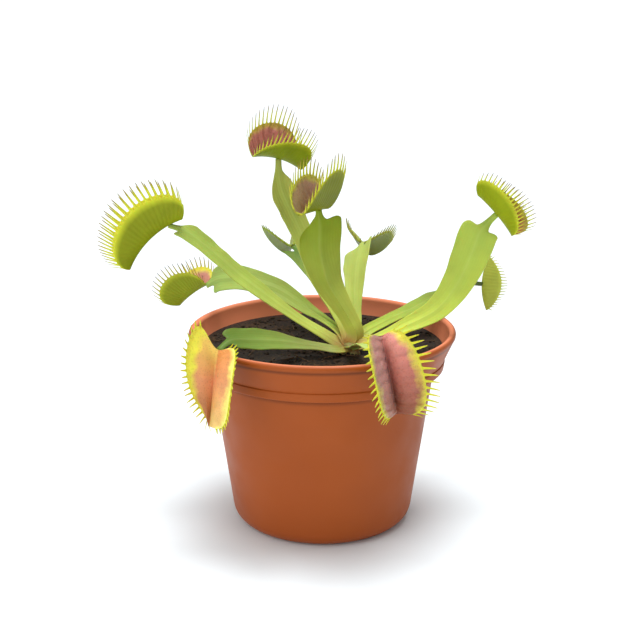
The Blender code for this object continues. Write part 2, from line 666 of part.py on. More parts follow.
class Lobes:
    """The outer face of a trap: u runs from -1 to 1 along the midrib, v from -1 to 1 between the margins."""

    def __init__(self, leaf):
        self.trap = leaf["trap"]
        self.axes = trap_axes(self.trap)
        self.sections = [lobe_section(lobe) for lobe in self.trap["lobes"]]
        self.shift = Vector((0, 0, 0))
        self.shift = Vector(leaf["route"][-1]) - self.point(self.trap["attach"], 0.0)

    def lobe(self, v):
        return self.trap["lobes"][0 if v < 0 else 1]

    def point(self, u, v):
        section = self.sections[0 if v < 0 else 1]
        midrib, lateral, gape = self.axes
        full_bend = math.radians(self.trap["bend"])
        radius = self.trap["length"] / 2 / full_bend
        bend = full_bend * u
        hinge = midrib * radius * math.sin(bend) - gape * radius * (1 - math.cos(bend))
        near_fan, far_fan = self.lobe(v)["fan"]
        fan = bend + math.radians((near_fan + far_fan) / 2 * u + (far_fan - near_fan) / 2 * u * u)
        outwards = gape * math.cos(fan) + midrib * math.sin(fan)
        place = self.span(u, v) * abs(v) * (len(section) - 1)
        step = min(int(place), len(section) - 2)
        (y0, z0), (y1, z1) = section[step:step + 2]
        y = (y0 + (y1 - y0) * (place - step)) * (1 if v > 0 else -1)
        z = z0 + (z1 - z0) * (place - step)
        return self.shift + hinge + lateral * y + outwards * z

    def span(self, u, v):
        """How deep a lobe is at a place along the midrib, as a share of its full depth."""
        near, far = self.lobe(v)["ends"]
        widest = (near - far) / (near + far)
        low, high = max(1 + u, 0.0) / (1 + widest), max(1 - u, 0.0) / (1 - widest)
        return low ** near * high ** far

    def inner_point(self, u, v):
        """The point of the inner face under a point of the outer face. The two inner faces never meet."""
        here = self.point(u, v)
        along = here - self.point(u - NUDGE, v)
        across = self.point(u, v + NUDGE) - here if v <= 0 else here - self.point(u, v - NUDGE)
        if v == 0.0:
            across = self.axes[1]
        swell = math.sin(math.pi * min(abs(v) / PAD_END, 1.0)) ** PAD_FULLNESS if v else 0.0
        thickness = LOBE_EDGE + self.lobe(v)["pad"] * swell * max(1 - abs(u) ** 4, 0.0)
        inner = here + along.cross(across).normalized() * thickness
        if v == 0.0:
            return inner
        side = 1 if v > 0 else -1
        past = LOBE_CLEARANCE - side * (inner - self.shift).dot(self.axes[1])
        return inner + self.axes[1] * side * max(past, 0.0)

    def last_station(self, way):
        """The last place towards one end of the midrib, -1 or 1, where both lobes are still broad enough."""
        steps = [way * LAST_STATION * (1 - (i / END_STEPS) ** 2) for i in range(END_STEPS)]
        return next(u for u in steps if min(self.span(u, side) for side in (-1, 1)) > END_SPAN)

    def bare_length(self, end, last):
        """How much of the margin has no teeth at one end, 0 or 1, between the last station and the teeth."""
        blunt = sum(lobe["depth"] * (1 - min(lobe["ends"][end], 1)) for lobe in self.trap["lobes"])
        cut = sum(self.lobe(side)["depth"] * self.span(last, side) for side in (-1, 1)) / 2
        return max(BARE_SHARE * blunt - cut, END_LENGTH)

    def stations(self):
        """Places along the midrib that are evenly spaced on the margin: plain spans to each end, and between
        them one span for each tooth and one for each space between two teeth."""
        low, high = self.last_station(-1), self.last_station(1)
        turns = [math.pi * i / MARGIN_STEPS for i in range(MARGIN_STEPS + 1)]
        shares = [low + (high - low) * (1 - math.cos(turn)) / 2 for turn in turns]
        reach = [0.0]
        for a, b in zip(shares, shares[1:]):
            reach.append(reach[-1] + sum((self.point(b, v) - self.point(a, v)).length for v in (-1, 1)) / 2)
        near, far = self.bare_length(0, low), self.bare_length(1, high)
        spans = 2 * self.trap["teeth"] - 1
        toothed = reach[-1] - near - far
        places = [near * i / END_SPANS for i in range(END_SPANS)]
        places += [near + toothed * i / spans for i in range(spans)]
        places += [reach[-1] - far * (1 - i / (END_SPANS + 1)) for i in range(END_SPANS + 2)]
        found = []
        for place in places:
            i = next((k for k in range(1, len(reach)) if reach[k] >= place - 1e-6), len(reach) - 1)
            part = (place - reach[i - 1]) / (reach[i] - reach[i - 1])
            found.append(shares[i - 1] + (shares[i] - shares[i - 1]) * part)
        return found

    def tooth_way(self, u, side):
        """The way that a tooth leaves the margin."""
        plain = (self.point(u, side) - self.point(u * TOOTH_FAN, side * 0.8)).normalized()
        splay = self.lobe(side)["splay"]
        return (plain + self.axes[1] * side * splay + self.axes[2] * TOOTH_GATHER).normalized()


def make_trap(name, leaf, look):
    lobes = Lobes(leaf)
    margin = lobes.stations()
    rows = [-row for row in reversed(LOBE_ROWS[1:])] + list(LOBE_ROWS)
    outer, inner, numbers = [], [], []
    for v in rows:
        line = margin if abs(v) == 1.0 else margin[::2]
        numbers.append(list(range(len(outer), len(outer) + len(line))))
        outer += [lobes.point(u, v) for u in line]
        inner += [lobes.inner_point(u, v) for u in line]
    triangles = []
    for near, far in zip(numbers, numbers[1:]):
        triangles += strip(near, far) if len(near) <= len(far) else strip(far, near)
    teeth = []
    for lane, side in ((0, -1), (-1, 1)):
        for j in range(END_SPANS, END_SPANS + 2 * leaf["trap"]["teeth"], 2):
            a, b = numbers[lane][j:j + 2]
            u = (margin[j] + margin[j + 1]) / 2
            length = SHORTEST_TOOTH + (1 - SHORTEST_TOOTH) * math.cos(u * math.pi / 2)
            root = (outer[a] + outer[b] + inner[a] + inner[b]) / 4
            teeth.append((a, b, root + lobes.tooth_way(u, side) * length * leaf["trap"]["tooth"]))
    return add_object(f"trap_{name}", solid_from_sheets(outer, inner, triangles, teeth), look)


def main():
    clear_scene()
    make_pot(material("terracotta_plastic", (0.37, 0.085, 0.03), 0.5))
    soil = make_soil(material("peat", (0.018, 0.011, 0.006), 0.95))
    make_rootstock(material("leaf_base", (0.62, 0.55, 0.28), 0.55))
    for i in range(ROOTS):
        cutter = add_object(f"root_hole_{i}", root_cone(i, GAP), soil.data.materials[0])
        cut_with(soil, cutter, f"root_{i}")
    petiole_look = material("petiole_green", (0.33, 0.52, 0.07), 0.45)
    trap_look = material("trap_green", (0.30, 0.38, 0.03), 0.45)
    for name, leaf in LEAVES.items():
        make_petiole(name, leaf, petiole_look)
        make_trap(name, leaf, trap_look)


main()
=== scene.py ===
"""Looks of the Venus flytrap in its nursery pot.

Sizes are millimetres and angles are degrees, and meshes are made in metres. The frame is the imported
model's: the origin is the centre of the pot's underside, +Z is up and -Y faces the camera.
"""

import math
import random
from collections import namedtuple

import bmesh
import bpy
from mathutils import Matrix, Vector, noise


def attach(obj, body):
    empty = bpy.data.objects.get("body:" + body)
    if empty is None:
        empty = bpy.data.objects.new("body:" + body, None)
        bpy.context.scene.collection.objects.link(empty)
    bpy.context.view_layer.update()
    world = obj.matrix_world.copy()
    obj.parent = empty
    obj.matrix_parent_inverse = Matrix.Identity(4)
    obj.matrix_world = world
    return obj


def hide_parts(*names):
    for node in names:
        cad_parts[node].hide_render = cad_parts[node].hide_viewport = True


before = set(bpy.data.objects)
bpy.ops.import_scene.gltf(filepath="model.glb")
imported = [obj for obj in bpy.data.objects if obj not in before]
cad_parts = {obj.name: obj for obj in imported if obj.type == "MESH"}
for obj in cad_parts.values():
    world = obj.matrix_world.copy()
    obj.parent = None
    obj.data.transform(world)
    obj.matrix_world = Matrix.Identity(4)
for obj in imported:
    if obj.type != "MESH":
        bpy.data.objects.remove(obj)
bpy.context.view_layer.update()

MM = 0.001
SEED = 7
NEARLY = 0.01

# Camera: looks at the middle of pot and plant from a little above.
TARGET = Vector((-0.78, 0.0, 69.7))
CAMERA_DISTANCE = 405.0
CAMERA_ELEVATION = 15.5
CAMERA_LENS = 67.5
CAMERA_NEAR = 10.0

# Stage: a wide floor, the room's own light, a ceiling light and a key.
FLOOR_SPAN = 60000.0
ROOM_LIGHT = 0.4
CEILING_STRENGTH = 2.7
CEILING_SPREAD = 34.0
CEILING_TURN = (-3.5, 2.0, 0.0)
KEY_PLACE = Vector((-420.0, -520.0, 420.0))
KEY_SIZE = 700.0
KEY_WATTS = 2.2

# Pot: the profile's driving sizes.
POT_RIM_RADIUS = 45.0
POT_HEIGHT = 67.3
LIP_WIDTH = 2.4
LIP_FOOT = POT_HEIGHT - LIP_WIDTH
LIP_PROUD = 0.5
BAND_FOOT_RADIUS = 41.2
BEAD_TOP = 57.5
BEAD_PROUD = 0.3
LEDGE_HEIGHT = 54.4
LEDGE_CHAMFER = 0.6
BODY_TOP_RADIUS = 38.0
BODY_FOOT_RADIUS = 30.2
HEEL_RADIUS = 5.8
INNER_HEEL = 3.2
WALL = 1.2
FLOOR = 1.6
RECESS_DEPTH = 0.6
RECESS_INNER_RADIUS = 9.0
RECESS_OUTER_RADIUS = 21.0
DRAIN_HOLES = 6
DRAIN_HOLE_RADIUS = 2.5
DRAIN_HOLE_STEPS = 32
DRAIN_RING_RADIUS = 15.0
# Rings at which the painted shade under the lip and the band fades out, and how near a point is shaded.
LIP_GROOVE = 1.0
LEDGE_GROOVE = 2.4
GROOVE_REACH = 0.1
POT_STEPS = 144
ARC_STEPS = 8
POT_SHARP = 35.0

# Soil: the fill's surface, its grains, and the crumbs and fibres that lie on it.
GAP = 0.35
SOIL_TOP = 61.2
SOIL_RELIEF = 0.9
COARSE_CRUMB = 11.0
FINE_CRUMB = 3.2
SOIL_SPOKES = 128
SOIL_RINGS = 44
SOIL_FADE = 2.0
SOIL_SHARP = 50.0
GRAIN_HEIGHT = 0.7
GRAIN_SIZE = 1.5
GRAIN_LEVEL = 0.35
CRUMBS = 420
CRUMB_SIZES = (0.35, 0.95)
CRUMB_LENGTHS = (0.7, 1.3)
CRUMB_HEIGHTS = (0.5, 0.9)
CRUMB_TILTS = (-0.5, 0.5)
CRUMB_CLEARANCE = 1.5
FIBRES = 70
FIBRE_LENGTHS = (3.0, 8.0)
FIBRE_RADIUS = 0.16
FIBRE_TILTS = (-8, 8)
FIBRE_LIFT = Vector((0.0, 0.0, 0.35))

# Rootstock: the bulb that all leaves grow from, folded into leaf bases, with its roots.
CROWN = Vector((9.0, -9.5, 61.5))
CROWN_LIFT = Vector((0.0, 0.0, 1.5))
BULB_RADIUS = 4.6
BULB_DEPTH = 17.0
BULB_MIDDLE = 0.4
BULB_HALF = 0.6
BULB_SHARP = 50.0
BASE_TWIST = 0.12
BASE_SWELL = 0.08
BASE_LEVEL = 0.6
ROOTS = 4
ROOT_RADIUS = 1.1
ROOT_TIP_RADIUS = 0.5
ROOT_LENGTH = 24.0
ROOT_TOP = -12.0
ROOT_SPREAD = 14.0
ROOT_OFFSET = 1.6
ROOT_TURN = 0.25

# Petiole: a winged ribbon that ends in two shoulders with a narrow neck between them.
ACROSS = (-1.0, -0.93, -0.8, -0.64, -0.48, -0.34, -0.2, -0.1, 0.0, 0.1, 0.2, 0.34, 0.48, 0.64, 0.8, 0.93, 1.0)
NECK_COLUMN = 0.34
NECK_HALF_WIDTH = 1.15
NECK_TAPER = 0.7
NECK_OVERLAP = 0.3
PETIOLE_EDGE = 0.45
PETIOLE_MIDRIB = 1.55
MIDRIB_SHARE = 0.42
UPPER_SHARE = 0.35
PETIOLE_ROWS = 40
NECK_ROWS = 5
FOOT_START = 0.8
SHOULDER_START = 0.6
CORNER_EASE = 0.8
CORNER_START = 0.6
CORNER_ROUND = 1.4
WIDEN_START = 0.05
WIDEN_SPAN = 0.85
CAMBER_POWER = 1.8
WAVE_HEIGHT = 0.35
WAVE_LENGTH = 37.0
FRILL_HEIGHT = 0.22
FRILL_LENGTH = 9.0
FRILL_START = 0.15
ROUTE_STEPS = 12
ROUTE_EASE = 3
VEIN_PITCH = 0.9

# Specular level of all leaf skins: a waxy bloom keeps them from mirroring the white room.
LEAF_SHEEN = 0.2

# Trap: two lobes hinged on a midrib, with a row of teeth along each margin and bristles on each pad.
LOBE_ROWS = (0.0, 0.05, 0.11, 0.19, 0.29, 0.4, 0.52, 0.64, 0.74, 0.81, 0.86, 0.91, 0.96, 1.0)
LOBE_EDGE = 0.65
PAD_START = 0.06
PAD_END = 0.88
PAD_FULLNESS = 0.62
KEEL = 0.35
KEEL_SHARE = 0.07
HINGE_SHARE = 0.09
SECTION_STEPS = 80
LOBE_CURL = 16.0
MARGIN_STEPS = 400
LAST_STATION = 0.9995
END_SPANS = 5
BARE_SHARE = 0.25
TOOTH_FAN = 0.985
TOOTH_ROOT = 0.8
TOOTH_GATHER = 0.7
SHORTEST_TOOTH = 0.6
TOOTH_STEPS = ((0.08, 0.88), (0.25, 0.74), (0.6, 0.56), (1.0, 0.24))
TOOTH_BEND = 0.1
TOOTH_JITTER = 0.05
HAIR_LENGTH = 1.2
HAIR_RADIUS = 0.08
HAIR_TIP_RADIUS = 0.02
HAIR_STEPS = 8
HAIR_SUNK = 0.2
HAIRS = ((-0.34, 0.42), (0.34, 0.42), (0.0, 0.66))
NUDGE = 0.02

# A lobe of a trap: how far it opens, how deep it is, how it fans out and how it tapers at its near and its
# far end, how plump its pad is, how far its teeth splay, the pad's colours from the near end to the far one,
# where its nectar band starts at both ends, and the band's colour.
Lobe = namedtuple("Lobe", "opening depth fan ends pad splay lining rim nectar")

# Each leaf: its route from the crown to its trap, the way its upper face looks at both ends, its width at
# the base and near its shoulders, how far its edges rise, how far its two corners reach past the blade's end,
# how far its foot is part of the rootstock, the length of its neck, and its colours low, midway and high,
# which are its own greens with painted light and shade in them: leaves and ends in shade are darker.
# Its trap: the way that its midrib runs and the way it gapes, its midrib's length and bend and where the neck
# meets it, the number of teeth on a margin and their length, the depth of its wrinkles, the colours of its
# skin and of its teeth, and its two lobes.
LEAVES = {
    "far_left": {
        "route": [(5, -9.2, 64.3), (0, -8, 67.2), (-7.4, -7.5, 71.7), (-14, -8, 76.6), (-19.9, -8.5, 81.3),
                  (-27.5, -9, 87.4), (-35.4, -10, 95), (-43.8, -10.5, 102), (-49.2, -11, 104.2)],
        "face": [(0.5, -0.45, 0.75), (0.3, -0.55, 0.75)], "base": 4.8, "width": 7.6, "camber": 0.1,
        "corners": (2.0, -3.2), "sheath": 6.5, "neck": 3.2, "tone": ("#C8D464", "#AEC258", "#9CB050"),
        "trap": {
            "midrib": (-0.71, -0.19, -0.66), "gape": (-0.7, -0.12, 0.7), "length": 24.0, "bend": 27,
            "attach": -0.62, "teeth": 22, "tooth": 7.0, "folds": 0.12, "skin": ("#8C9414", "#C2C82C"),
            "teeth_tone": ("#D0D43A", "#8E7E38"),
            "lobes": [
                Lobe(17, 12.0, (28, 22), (0.33, 0.48), 0.9, 0.0, ("#C8B83C", "#CDBB40", "#C89040"),
                     (0.82, 0.82), "#DCDC3C"),
            ] * 2,
        },
    },
    "mid_left": {
        "route": [(5.9, -4.9, 67), (0.2, 0.4, 70), (-4.6, 4.6, 71.9), (-14.2, 10, 77.3), (-21.7, 13, 79.4),
                  (-28.9, 16, 80.4), (-36.2, 18.5, 79.4), (-40.6, 20, 76.8)],
        "face": [(0.4, -0.4, 0.8), (-0.15, -0.85, 0.45)], "base": 4.6, "width": 9.0, "camber": 0.08,
        "corners": (1.5, -1.8), "sheath": 8.5, "neck": 2.6, "tone": ("#B8CC5C", "#ACC05C", "#A0B85E"),
        "trap": {
            "midrib": (-0.76, 0.22, -0.61), "gape": (-0.55, 0.34, 0.77), "length": 13.5, "bend": 15,
            "attach": -1.0, "teeth": 19, "tooth": 4.6, "folds": 0.12, "skin": ("#8E9816", "#B4BC2A"),
            "teeth_tone": ("#B8B048", "#4E3A30"),
            "lobes": [
                Lobe(33, 10.8, (45, 38), (0.4, 0.4), 0.8, 0.0, ("#C98A78", "#C98A78", "#C98A78"),
                     (0.82, 0.86), "#D8D048"),
                Lobe(33, 10.6, (28, 38), (0.6, 0.38), 0.8, 0.0, ("#C98A78", "#C98A78", "#C98A78"),
                     (0.82, 0.86), "#D8D048"),
            ],
        },
    },
    "front_left": {
        "route": [(5, -13.8, 63.3), (-1, -14.8, 64.6), (-7, -17.5, 66.2), (-15.1, -22.5, 68.8),
                  (-23.4, -28, 70.8), (-28.6, -32.6, 71.9), (-31.8, -36.4, 70.3)],
        "face": [(0.1, -0.3, 0.95), (-0.15, -0.7, 0.7)], "base": 4.6, "width": 9.0, "camber": 0.1,
        # Its high tone is darkened with painted shade, where its end lies in shade.
        "corners": (0.5, 0.5), "sheath": 6.0, "neck": 5.0, "tone": ("#B8C070", "#8CA44C", "#5E7A2C"),
        "trap": {
            "midrib": (-0.14, -0.1, -0.98), "gape": (-0.34, -0.92, 0.12), "length": 24.5, "bend": 6,
            "attach": -1.0, "teeth": 20, "tooth": 5.4, "folds": 0.06, "skin": ("#98A020", "#C8CC3C"),
            "teeth_tone": ("#D8DA3C", "#CCC63E"),
            "lobes": [
                Lobe(42, 11.9, (88, 5), (0.2, 1.2), 1.3, -0.6, ("#E6C062", "#E29C6E", "#A4683E"),
                     (0.66, 1.02), "#E2DA4C"),
                Lobe(48, 12.2, (88, 4), (0.48, 0.48), 1.3, 0.2, ("#DC9254", "#E29C6C", "#E8BC6C"),
                     (0.84, 0.9), "#FAF07C"),
            ],
        },
    },
    "front_right": {
        "route": [(10, -13.4, 64), (10.9, -20, 66.4), (12.9, -29, 69.8), (15.4, -37, 72), (17.6, -41.6, 71.8),
                  (18.9, -44.6, 70.6)],
        "face": [(0.0, -0.2, 0.98), (0.1, -0.5, 0.86)], "base": 4.6, "width": 8.5, "camber": 0.08,
        "corners": (0.5, 0.5), "sheath": 6.5, "neck": 5.0, "tone": ("#BACF6C", "#BACF6C", "#B9D070"),
        "trap": {
            "midrib": (0.2, -0.06, -0.97), "gape": (0.33, -0.94, 0.05), "length": 25, "bend": 10,
            "attach": -0.48, "teeth": 18, "tooth": 6.2, "folds": 0.22, "skin": ("#98A020", "#C8CC3C"),
            "teeth_tone": ("#D8DA3C", "#CCC63E"),
            "lobes": [
                Lobe(40, 11.6, (40, 12), (0.36, 0.45), 1.5, 0.9, ("#B4847A", "#B4847C", "#B07A68"),
                     (0.93, 0.97), "#CFCB58"),
                Lobe(40, 11.8, (42, 14), (0.42, 0.34), 3.0, 0.45, ("#DA9286", "#C87C6E", "#90543F"),
                     (0.84, 0.98), "#DCD44A"),
            ],
        },
    },
    "centre": {
        "route": [(11.2, -9.2, 66.8), (9.0, -9.4, 72.6), (3.2, -10.6, 82.7), (1.0, -12, 88.2),
                  (-0.7, -13.4, 97.1), (-0.7, -15.4, 104.4), (-1.2, -16.8, 110.2)],
        "face": [(-0.3, 0.9, 0.3), (0.1, 0.95, 0.2)], "base": 5.6, "width": 13.4, "camber": 0.14,
        "corners": (1.2, -6.4), "sheath": 6.5, "neck": 3.2, "tone": ("#CAD662", "#A2B044", "#7C8E16"),
        "trap": {
            "midrib": (-0.55, -0.83, 0.0), "gape": (0.1, -0.06, 0.99), "length": 15, "bend": 8,
            "attach": -0.45, "teeth": 18, "tooth": 6.0, "folds": 0.16, "skin": ("#767C08", "#878C1C"),
            "teeth_tone": ("#C8CC3A", "#94843C"),
            "lobes": [
                Lobe(18, 12.0, (20, 20), (0.4, 0.5), 1.0, 0.0, ("#A87A62", "#A68068", "#9A8058"), (0.8, 1.05),
                     "#C4C03C"),
                Lobe(17, 15.6, (8, 20), (0.5, 1.0), 0.9, 0.0, ("#A87A62", "#A68068", "#9A8058"), (0.86, 0.86),
                     "#8E9430"),
            ],
        },
    },
    "tall": {
        "route": [(7.6, -5.6, 68.2), (4.6, -1.4, 73.4), (0.8, 2.5, 79), (-2.4, 5, 84.4), (-4.6, 7, 91),
                  (-6.8, 9, 97), (-10.0, 11, 103.8), (-13.4, 12, 111), (-14.6, 13, 116.6),
                  (-14.8, 13.3, 122.2)],
        "face": [(0.3, -0.9, 0.3), (0.25, -0.95, 0.15)], "base": 4.2, "width": 8.2, "camber": 0.12,
        "corners": (-7.0, -3.4), "sheath": 8.6, "neck": 4.0, "tone": ("#C0CC60", "#ACBA56", "#A4AC4E"),
        "trap": {
            "midrib": (-0.86, -0.4, 0.29), "gape": (0.08, -0.22, 0.97), "length": 18.6, "bend": 24,
            "attach": -0.02, "teeth": 21, "tooth": 7.0, "folds": 0.3, "skin": ("#7E8A12", "#9AA01E"),
            "teeth_tone": ("#C8CC3A", "#6E5236"),
            "lobes": [
                Lobe(36, 12.7, (-20, 14), (0.5, 0.42), 1.0, 0.0, ("#AE6E5A", "#A8665A", "#A06050"),
                     (0.9, 0.92), "#AA9634"),
                Lobe(38, 12.0, (-24, 14), (0.26, 0.55), 1.0, 0.0, ("#AE6E5A", "#A8665A", "#A06050"),
                     (0.84, 0.84), "#A4A034"),
            ],
        },
    },
    "back": {
        "route": [(11.2, -3.6, 69.3), (11.0, 0.4, 74.0), (11, 4.4, 79), (11.6, 9.6, 85.4), (12.6, 13.6, 89.6),
                  (13.3, 16.8, 91.4), (13.9, 20, 91.9)],
        "face": [(0.0, -0.8, 0.6), (-0.5, -0.6, 0.6)], "base": 3.8, "width": 9.2, "camber": 0.12,
        "corners": (-3.2, 4.4), "sheath": 8.5, "neck": 3.6, "tone": ("#C0CE64", "#BCCA64", "#AEBE5E"),
        "trap": {
            "midrib": (0.27, 0.8, -0.54), "gape": (0.13, 0.1, 0.98), "length": 12, "bend": 15, "attach": -1.0,
            "teeth": 18, "tooth": 3.6, "folds": 0.12, "skin": ("#86923A", "#98A03C"),
            "teeth_tone": ("#9CA040", "#7E7C48"),
            "lobes": [
                Lobe(46, 10.4, (14, 14), (0.6, 0.6), 0.6, 0.0, ("#A8B04A", "#A8B04A", "#A8B04A"), (0.9, 0.9),
                     "#B0B448"),
                Lobe(52, 11, (22, 22), (0.9, 0.9), 0.6, 0.0, ("#A8B04A", "#A8B04A", "#A8B04A"), (0.9, 0.9),
                     "#B0B448"),
            ],
        },
    },
    "back_left": {
        "route": [(8.8, -3.6, 67.6), (6.0, 1.6, 70.6), (2.4, 8, 75.4), (-1, 15.6, 81.2), (-5.2, 22.6, 85.6),
                  (-8.4, 28, 87.8), (-10.4, 31.6, 88.2)],
        "face": [(0.2, -0.7, 0.7), (0.1, -0.8, 0.6)], "base": 3.8, "width": 10.0, "camber": 0.1,
        "corners": (4.5, 0.5), "sheath": 8.8, "neck": 4.0, "tone": ("#ACC05C", "#98AE4C", "#5E7A30"),
        "trap": {
            "midrib": (-0.2, 0.87, -0.42), "gape": (-0.35, 0.1, 0.92), "length": 10.5, "bend": 15,
            "attach": -1.0, "teeth": 17, "tooth": 2.2, "folds": 0.12, "skin": ("#7A8A2E", "#8A9838"),
            "teeth_tone": ("#90A03A", "#7E8444"),
            "lobes": [
                Lobe(34, 10.5, (28, 28), (0.9, 0.9), 0.6, 0.0, ("#A8B04A", "#A8B04A", "#A8B04A"),
                     (0.94, 0.94), "#98A440"),
                Lobe(26, 12.0, (4, 4), (0.9, 0.9), 0.6, 0.0, ("#A8B04A", "#A8B04A", "#A8B04A"), (0.94, 0.94),
                     "#98A440"),
            ],
        },
    },
    "right": {
        "route": [(14.4, -10.6, 64.6), (20, -9.8, 66.6), (26.4, -8.8, 69.4), (33, -8.2, 72.4), (38, -8, 75.6),
                  (42.4, -8, 80.9), (46, -8, 87.4), (49.2, -8, 95.6), (51.2, -7, 101), (54.0, -6, 104.4),
                  (56.4, -6, 106.8)],
        "face": [(-0.3, -0.6, 0.75), (-0.45, -0.85, 0.25)], "base": 4.6, "width": 13.0, "camber": 0.1,
        "corners": (0.0, 1.0), "sheath": 8.0, "neck": 6.2, "tone": ("#CEDC5C", "#B8CC54", "#A2B84A"),
        "trap": {
            "midrib": (0.64, -0.2, -0.74), "gape": (0.7, -0.4, 0.62), "length": 17.0, "bend": 12,
            "attach": 0.0, "teeth": 21, "tooth": 4.6, "folds": 0.12, "skin": ("#94A018", "#B8BE2A"),
            "teeth_tone": ("#CCD03C", "#7A5C34"),
            "lobes": [
                Lobe(22, 9.9, (36, 14), (0.22, 0.5), 0.8, 0.0, ("#A8743C", "#B07A40", "#B8804A"),
                     (0.86, 0.86), "#B8AC44"),
                Lobe(8, 8.0, (24, 18), (0.5, 0.28), 0.8, 0.0, ("#A8743C", "#B07A40", "#B8804A"), (0.86, 0.86),
                     "#B8AC44"),
            ],
        },
    },
    "right_back": {
        "route": [(14.2, -5.4, 66.8), (19, -0.8, 68.2), (24, 3.8, 69.4), (30, 9, 70.6), (37, 13.5, 73),
                  (44.4, 17, 76), (50.5, 20, 77.6), (56.4, 22.4, 76.8)],
        "face": [(-0.6, -1.8, 2.0), (0.0, 0.7, 0.7)], "base": 4.2, "width": 9.5, "camber": 0.1,
        "corners": (-2.0, 4.0), "sheath": 8.2, "neck": 6.0, "tone": ("#B4C850", "#98AC44", "#4E5A2C"),
        "trap": {
            "midrib": (-0.02, -0.06, -0.99), "gape": (0.93, 0.36, 0.0), "length": 20, "bend": -24,
            "attach": 0.0, "teeth": 20, "tooth": 2.6, "folds": 0.12, "skin": ("#AEB446", "#C0C650"),
            "teeth_tone": ("#C0C450", "#9C9A40"),
            "lobes": [
                Lobe(28, 7.0, (4, 4), (0.7, 0.7), 0.2, 0.0, ("#A8A048", "#A8A048", "#A8A048"), (0.88, 0.88),
                     "#C4C850"),
            ] * 2,
        },
    },
}


# Working with Blender's operators

def deselect():
    bpy.ops.object.select_all(action="DESELECT")


def use_only(obj):
    deselect()
    obj.select_set(True)
    bpy.context.view_layer.objects.active = obj


def add_new(operator, name, **settings):
    """Adds an object with an operator, and names it and its data."""
    deselect()
    operator(**settings)
    obj = bpy.context.object
    obj.name = name
    obj.data.name = name
    return obj


def in_edit_mode(mode="FACE"):
    bpy.ops.object.mode_set(mode="EDIT")
    bpy.ops.mesh.select_mode(type=mode)
    bpy.ops.mesh.select_all(action="DESELECT")


def leave_edit_mode():
    bpy.ops.object.mode_set(mode="OBJECT")


def leave_facing_outward():
    """Turns all faces of the mesh in edit mode outward, and leaves edit mode."""
    bpy.ops.mesh.select_all(action="SELECT")
    bpy.ops.mesh.normals_make_consistent(inside=False)
    leave_edit_mode()


def extrude_rings(radius, height, rings):
    """Extrudes the selected rim, at a radius and a height, from ring to ring (r, z), and closes the last."""
    for r, z in rings:
        bpy.ops.mesh.extrude_edges_move(TRANSFORM_OT_translate={"value": (0, 0, (z - height) * MM)})
        bpy.ops.transform.resize(value=(r / radius, r / radius, 1), center_override=(0, 0, z * MM))
        radius, height = r, z
    bpy.ops.mesh.edge_face_add()


def add_modifier(obj, name, kind, **settings):
    """Adds a modifier, gives it its settings and applies it."""
    use_only(obj)
    modifier = obj.modifiers.new(name, kind)
    for key, value in settings.items():
        setattr(modifier, key, value)
    bpy.ops.object.modifier_apply(modifier=name)


def round_off(obj):
    add_modifier(obj, "rounding", "SUBSURF", levels=1, render_levels=1)


def write_layers(obj, layers):
    """Stores one number for each point of a mesh under each name, for modelling and for the materials."""
    for name, values in layers.items():
        obj.data.attributes.new(name, "FLOAT", "POINT").data.foreach_set("value", values)


def layers_of(bm, *names):
    """The layers of numbers with these names, on a mesh in edit mode."""
    return [bm.verts.layers.float[name] for name in names]


def write_weights(obj, name, weights):
    group = obj.vertex_groups.new(name=name)
    for i, weight in enumerate(weights):
        group.add([i], weight, "REPLACE")


def join_into(obj, others):
    use_only(obj)
    for other in others:
        other.select_set(True)
    bpy.ops.object.join()


def finish_piece(obj, slot, *nodes, sharp=None):
    """Shades a piece smooth, hangs it on the body it rides on, and hides the model's parts that it stands
    for.
    """
    use_only(obj)
    if sharp:
        bpy.ops.object.shade_smooth_by_angle(angle=math.radians(sharp))
    else:
        bpy.ops.object.shade_smooth()
    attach(obj, "root")
    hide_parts(*nodes)
    deselect()


def smoothstep(x):
    x = min(max(x, 0.0), 1.0)
    return x * x * (3 - 2 * x)


# Materials

def srgb(code):
    """A linear colour from an sRGB hex code."""
    shares = [int(code[i:i + 2], 16) / 255 for i in (1, 3, 5)]
    linear = [s / 12.92 if s <= 0.04045 else ((s + 0.055) / 1.055) ** 2.4 for s in shares]
    return (*linear, 1.0)


def add_node(tree, kind, sockets=None, stops=None, **settings):
    """Adds a shader node. Each of the sockets gets a value or the output of another node."""
    node = tree.nodes.new("ShaderNode" + kind)
    for key, value in settings.items():
        setattr(node, key, value)
    for key, value in (sockets or {}).items():
        if isinstance(value, bpy.types.NodeSocket):
            tree.links.new(value, node.inputs[key])
        else:
            node.inputs[key].default_value = value
    if stops:
        elements = node.color_ramp.elements
        while len(elements) < len(stops):
            elements.new(1.0)
        for element, (place, code) in zip(elements, stops):
            element.position = place
            element.color = srgb(code)
    return node


def pattern_scale(size):
    """The Scale of a texture in object coordinates whose features are about so many millimetres."""
    return 1 / (size * MM)


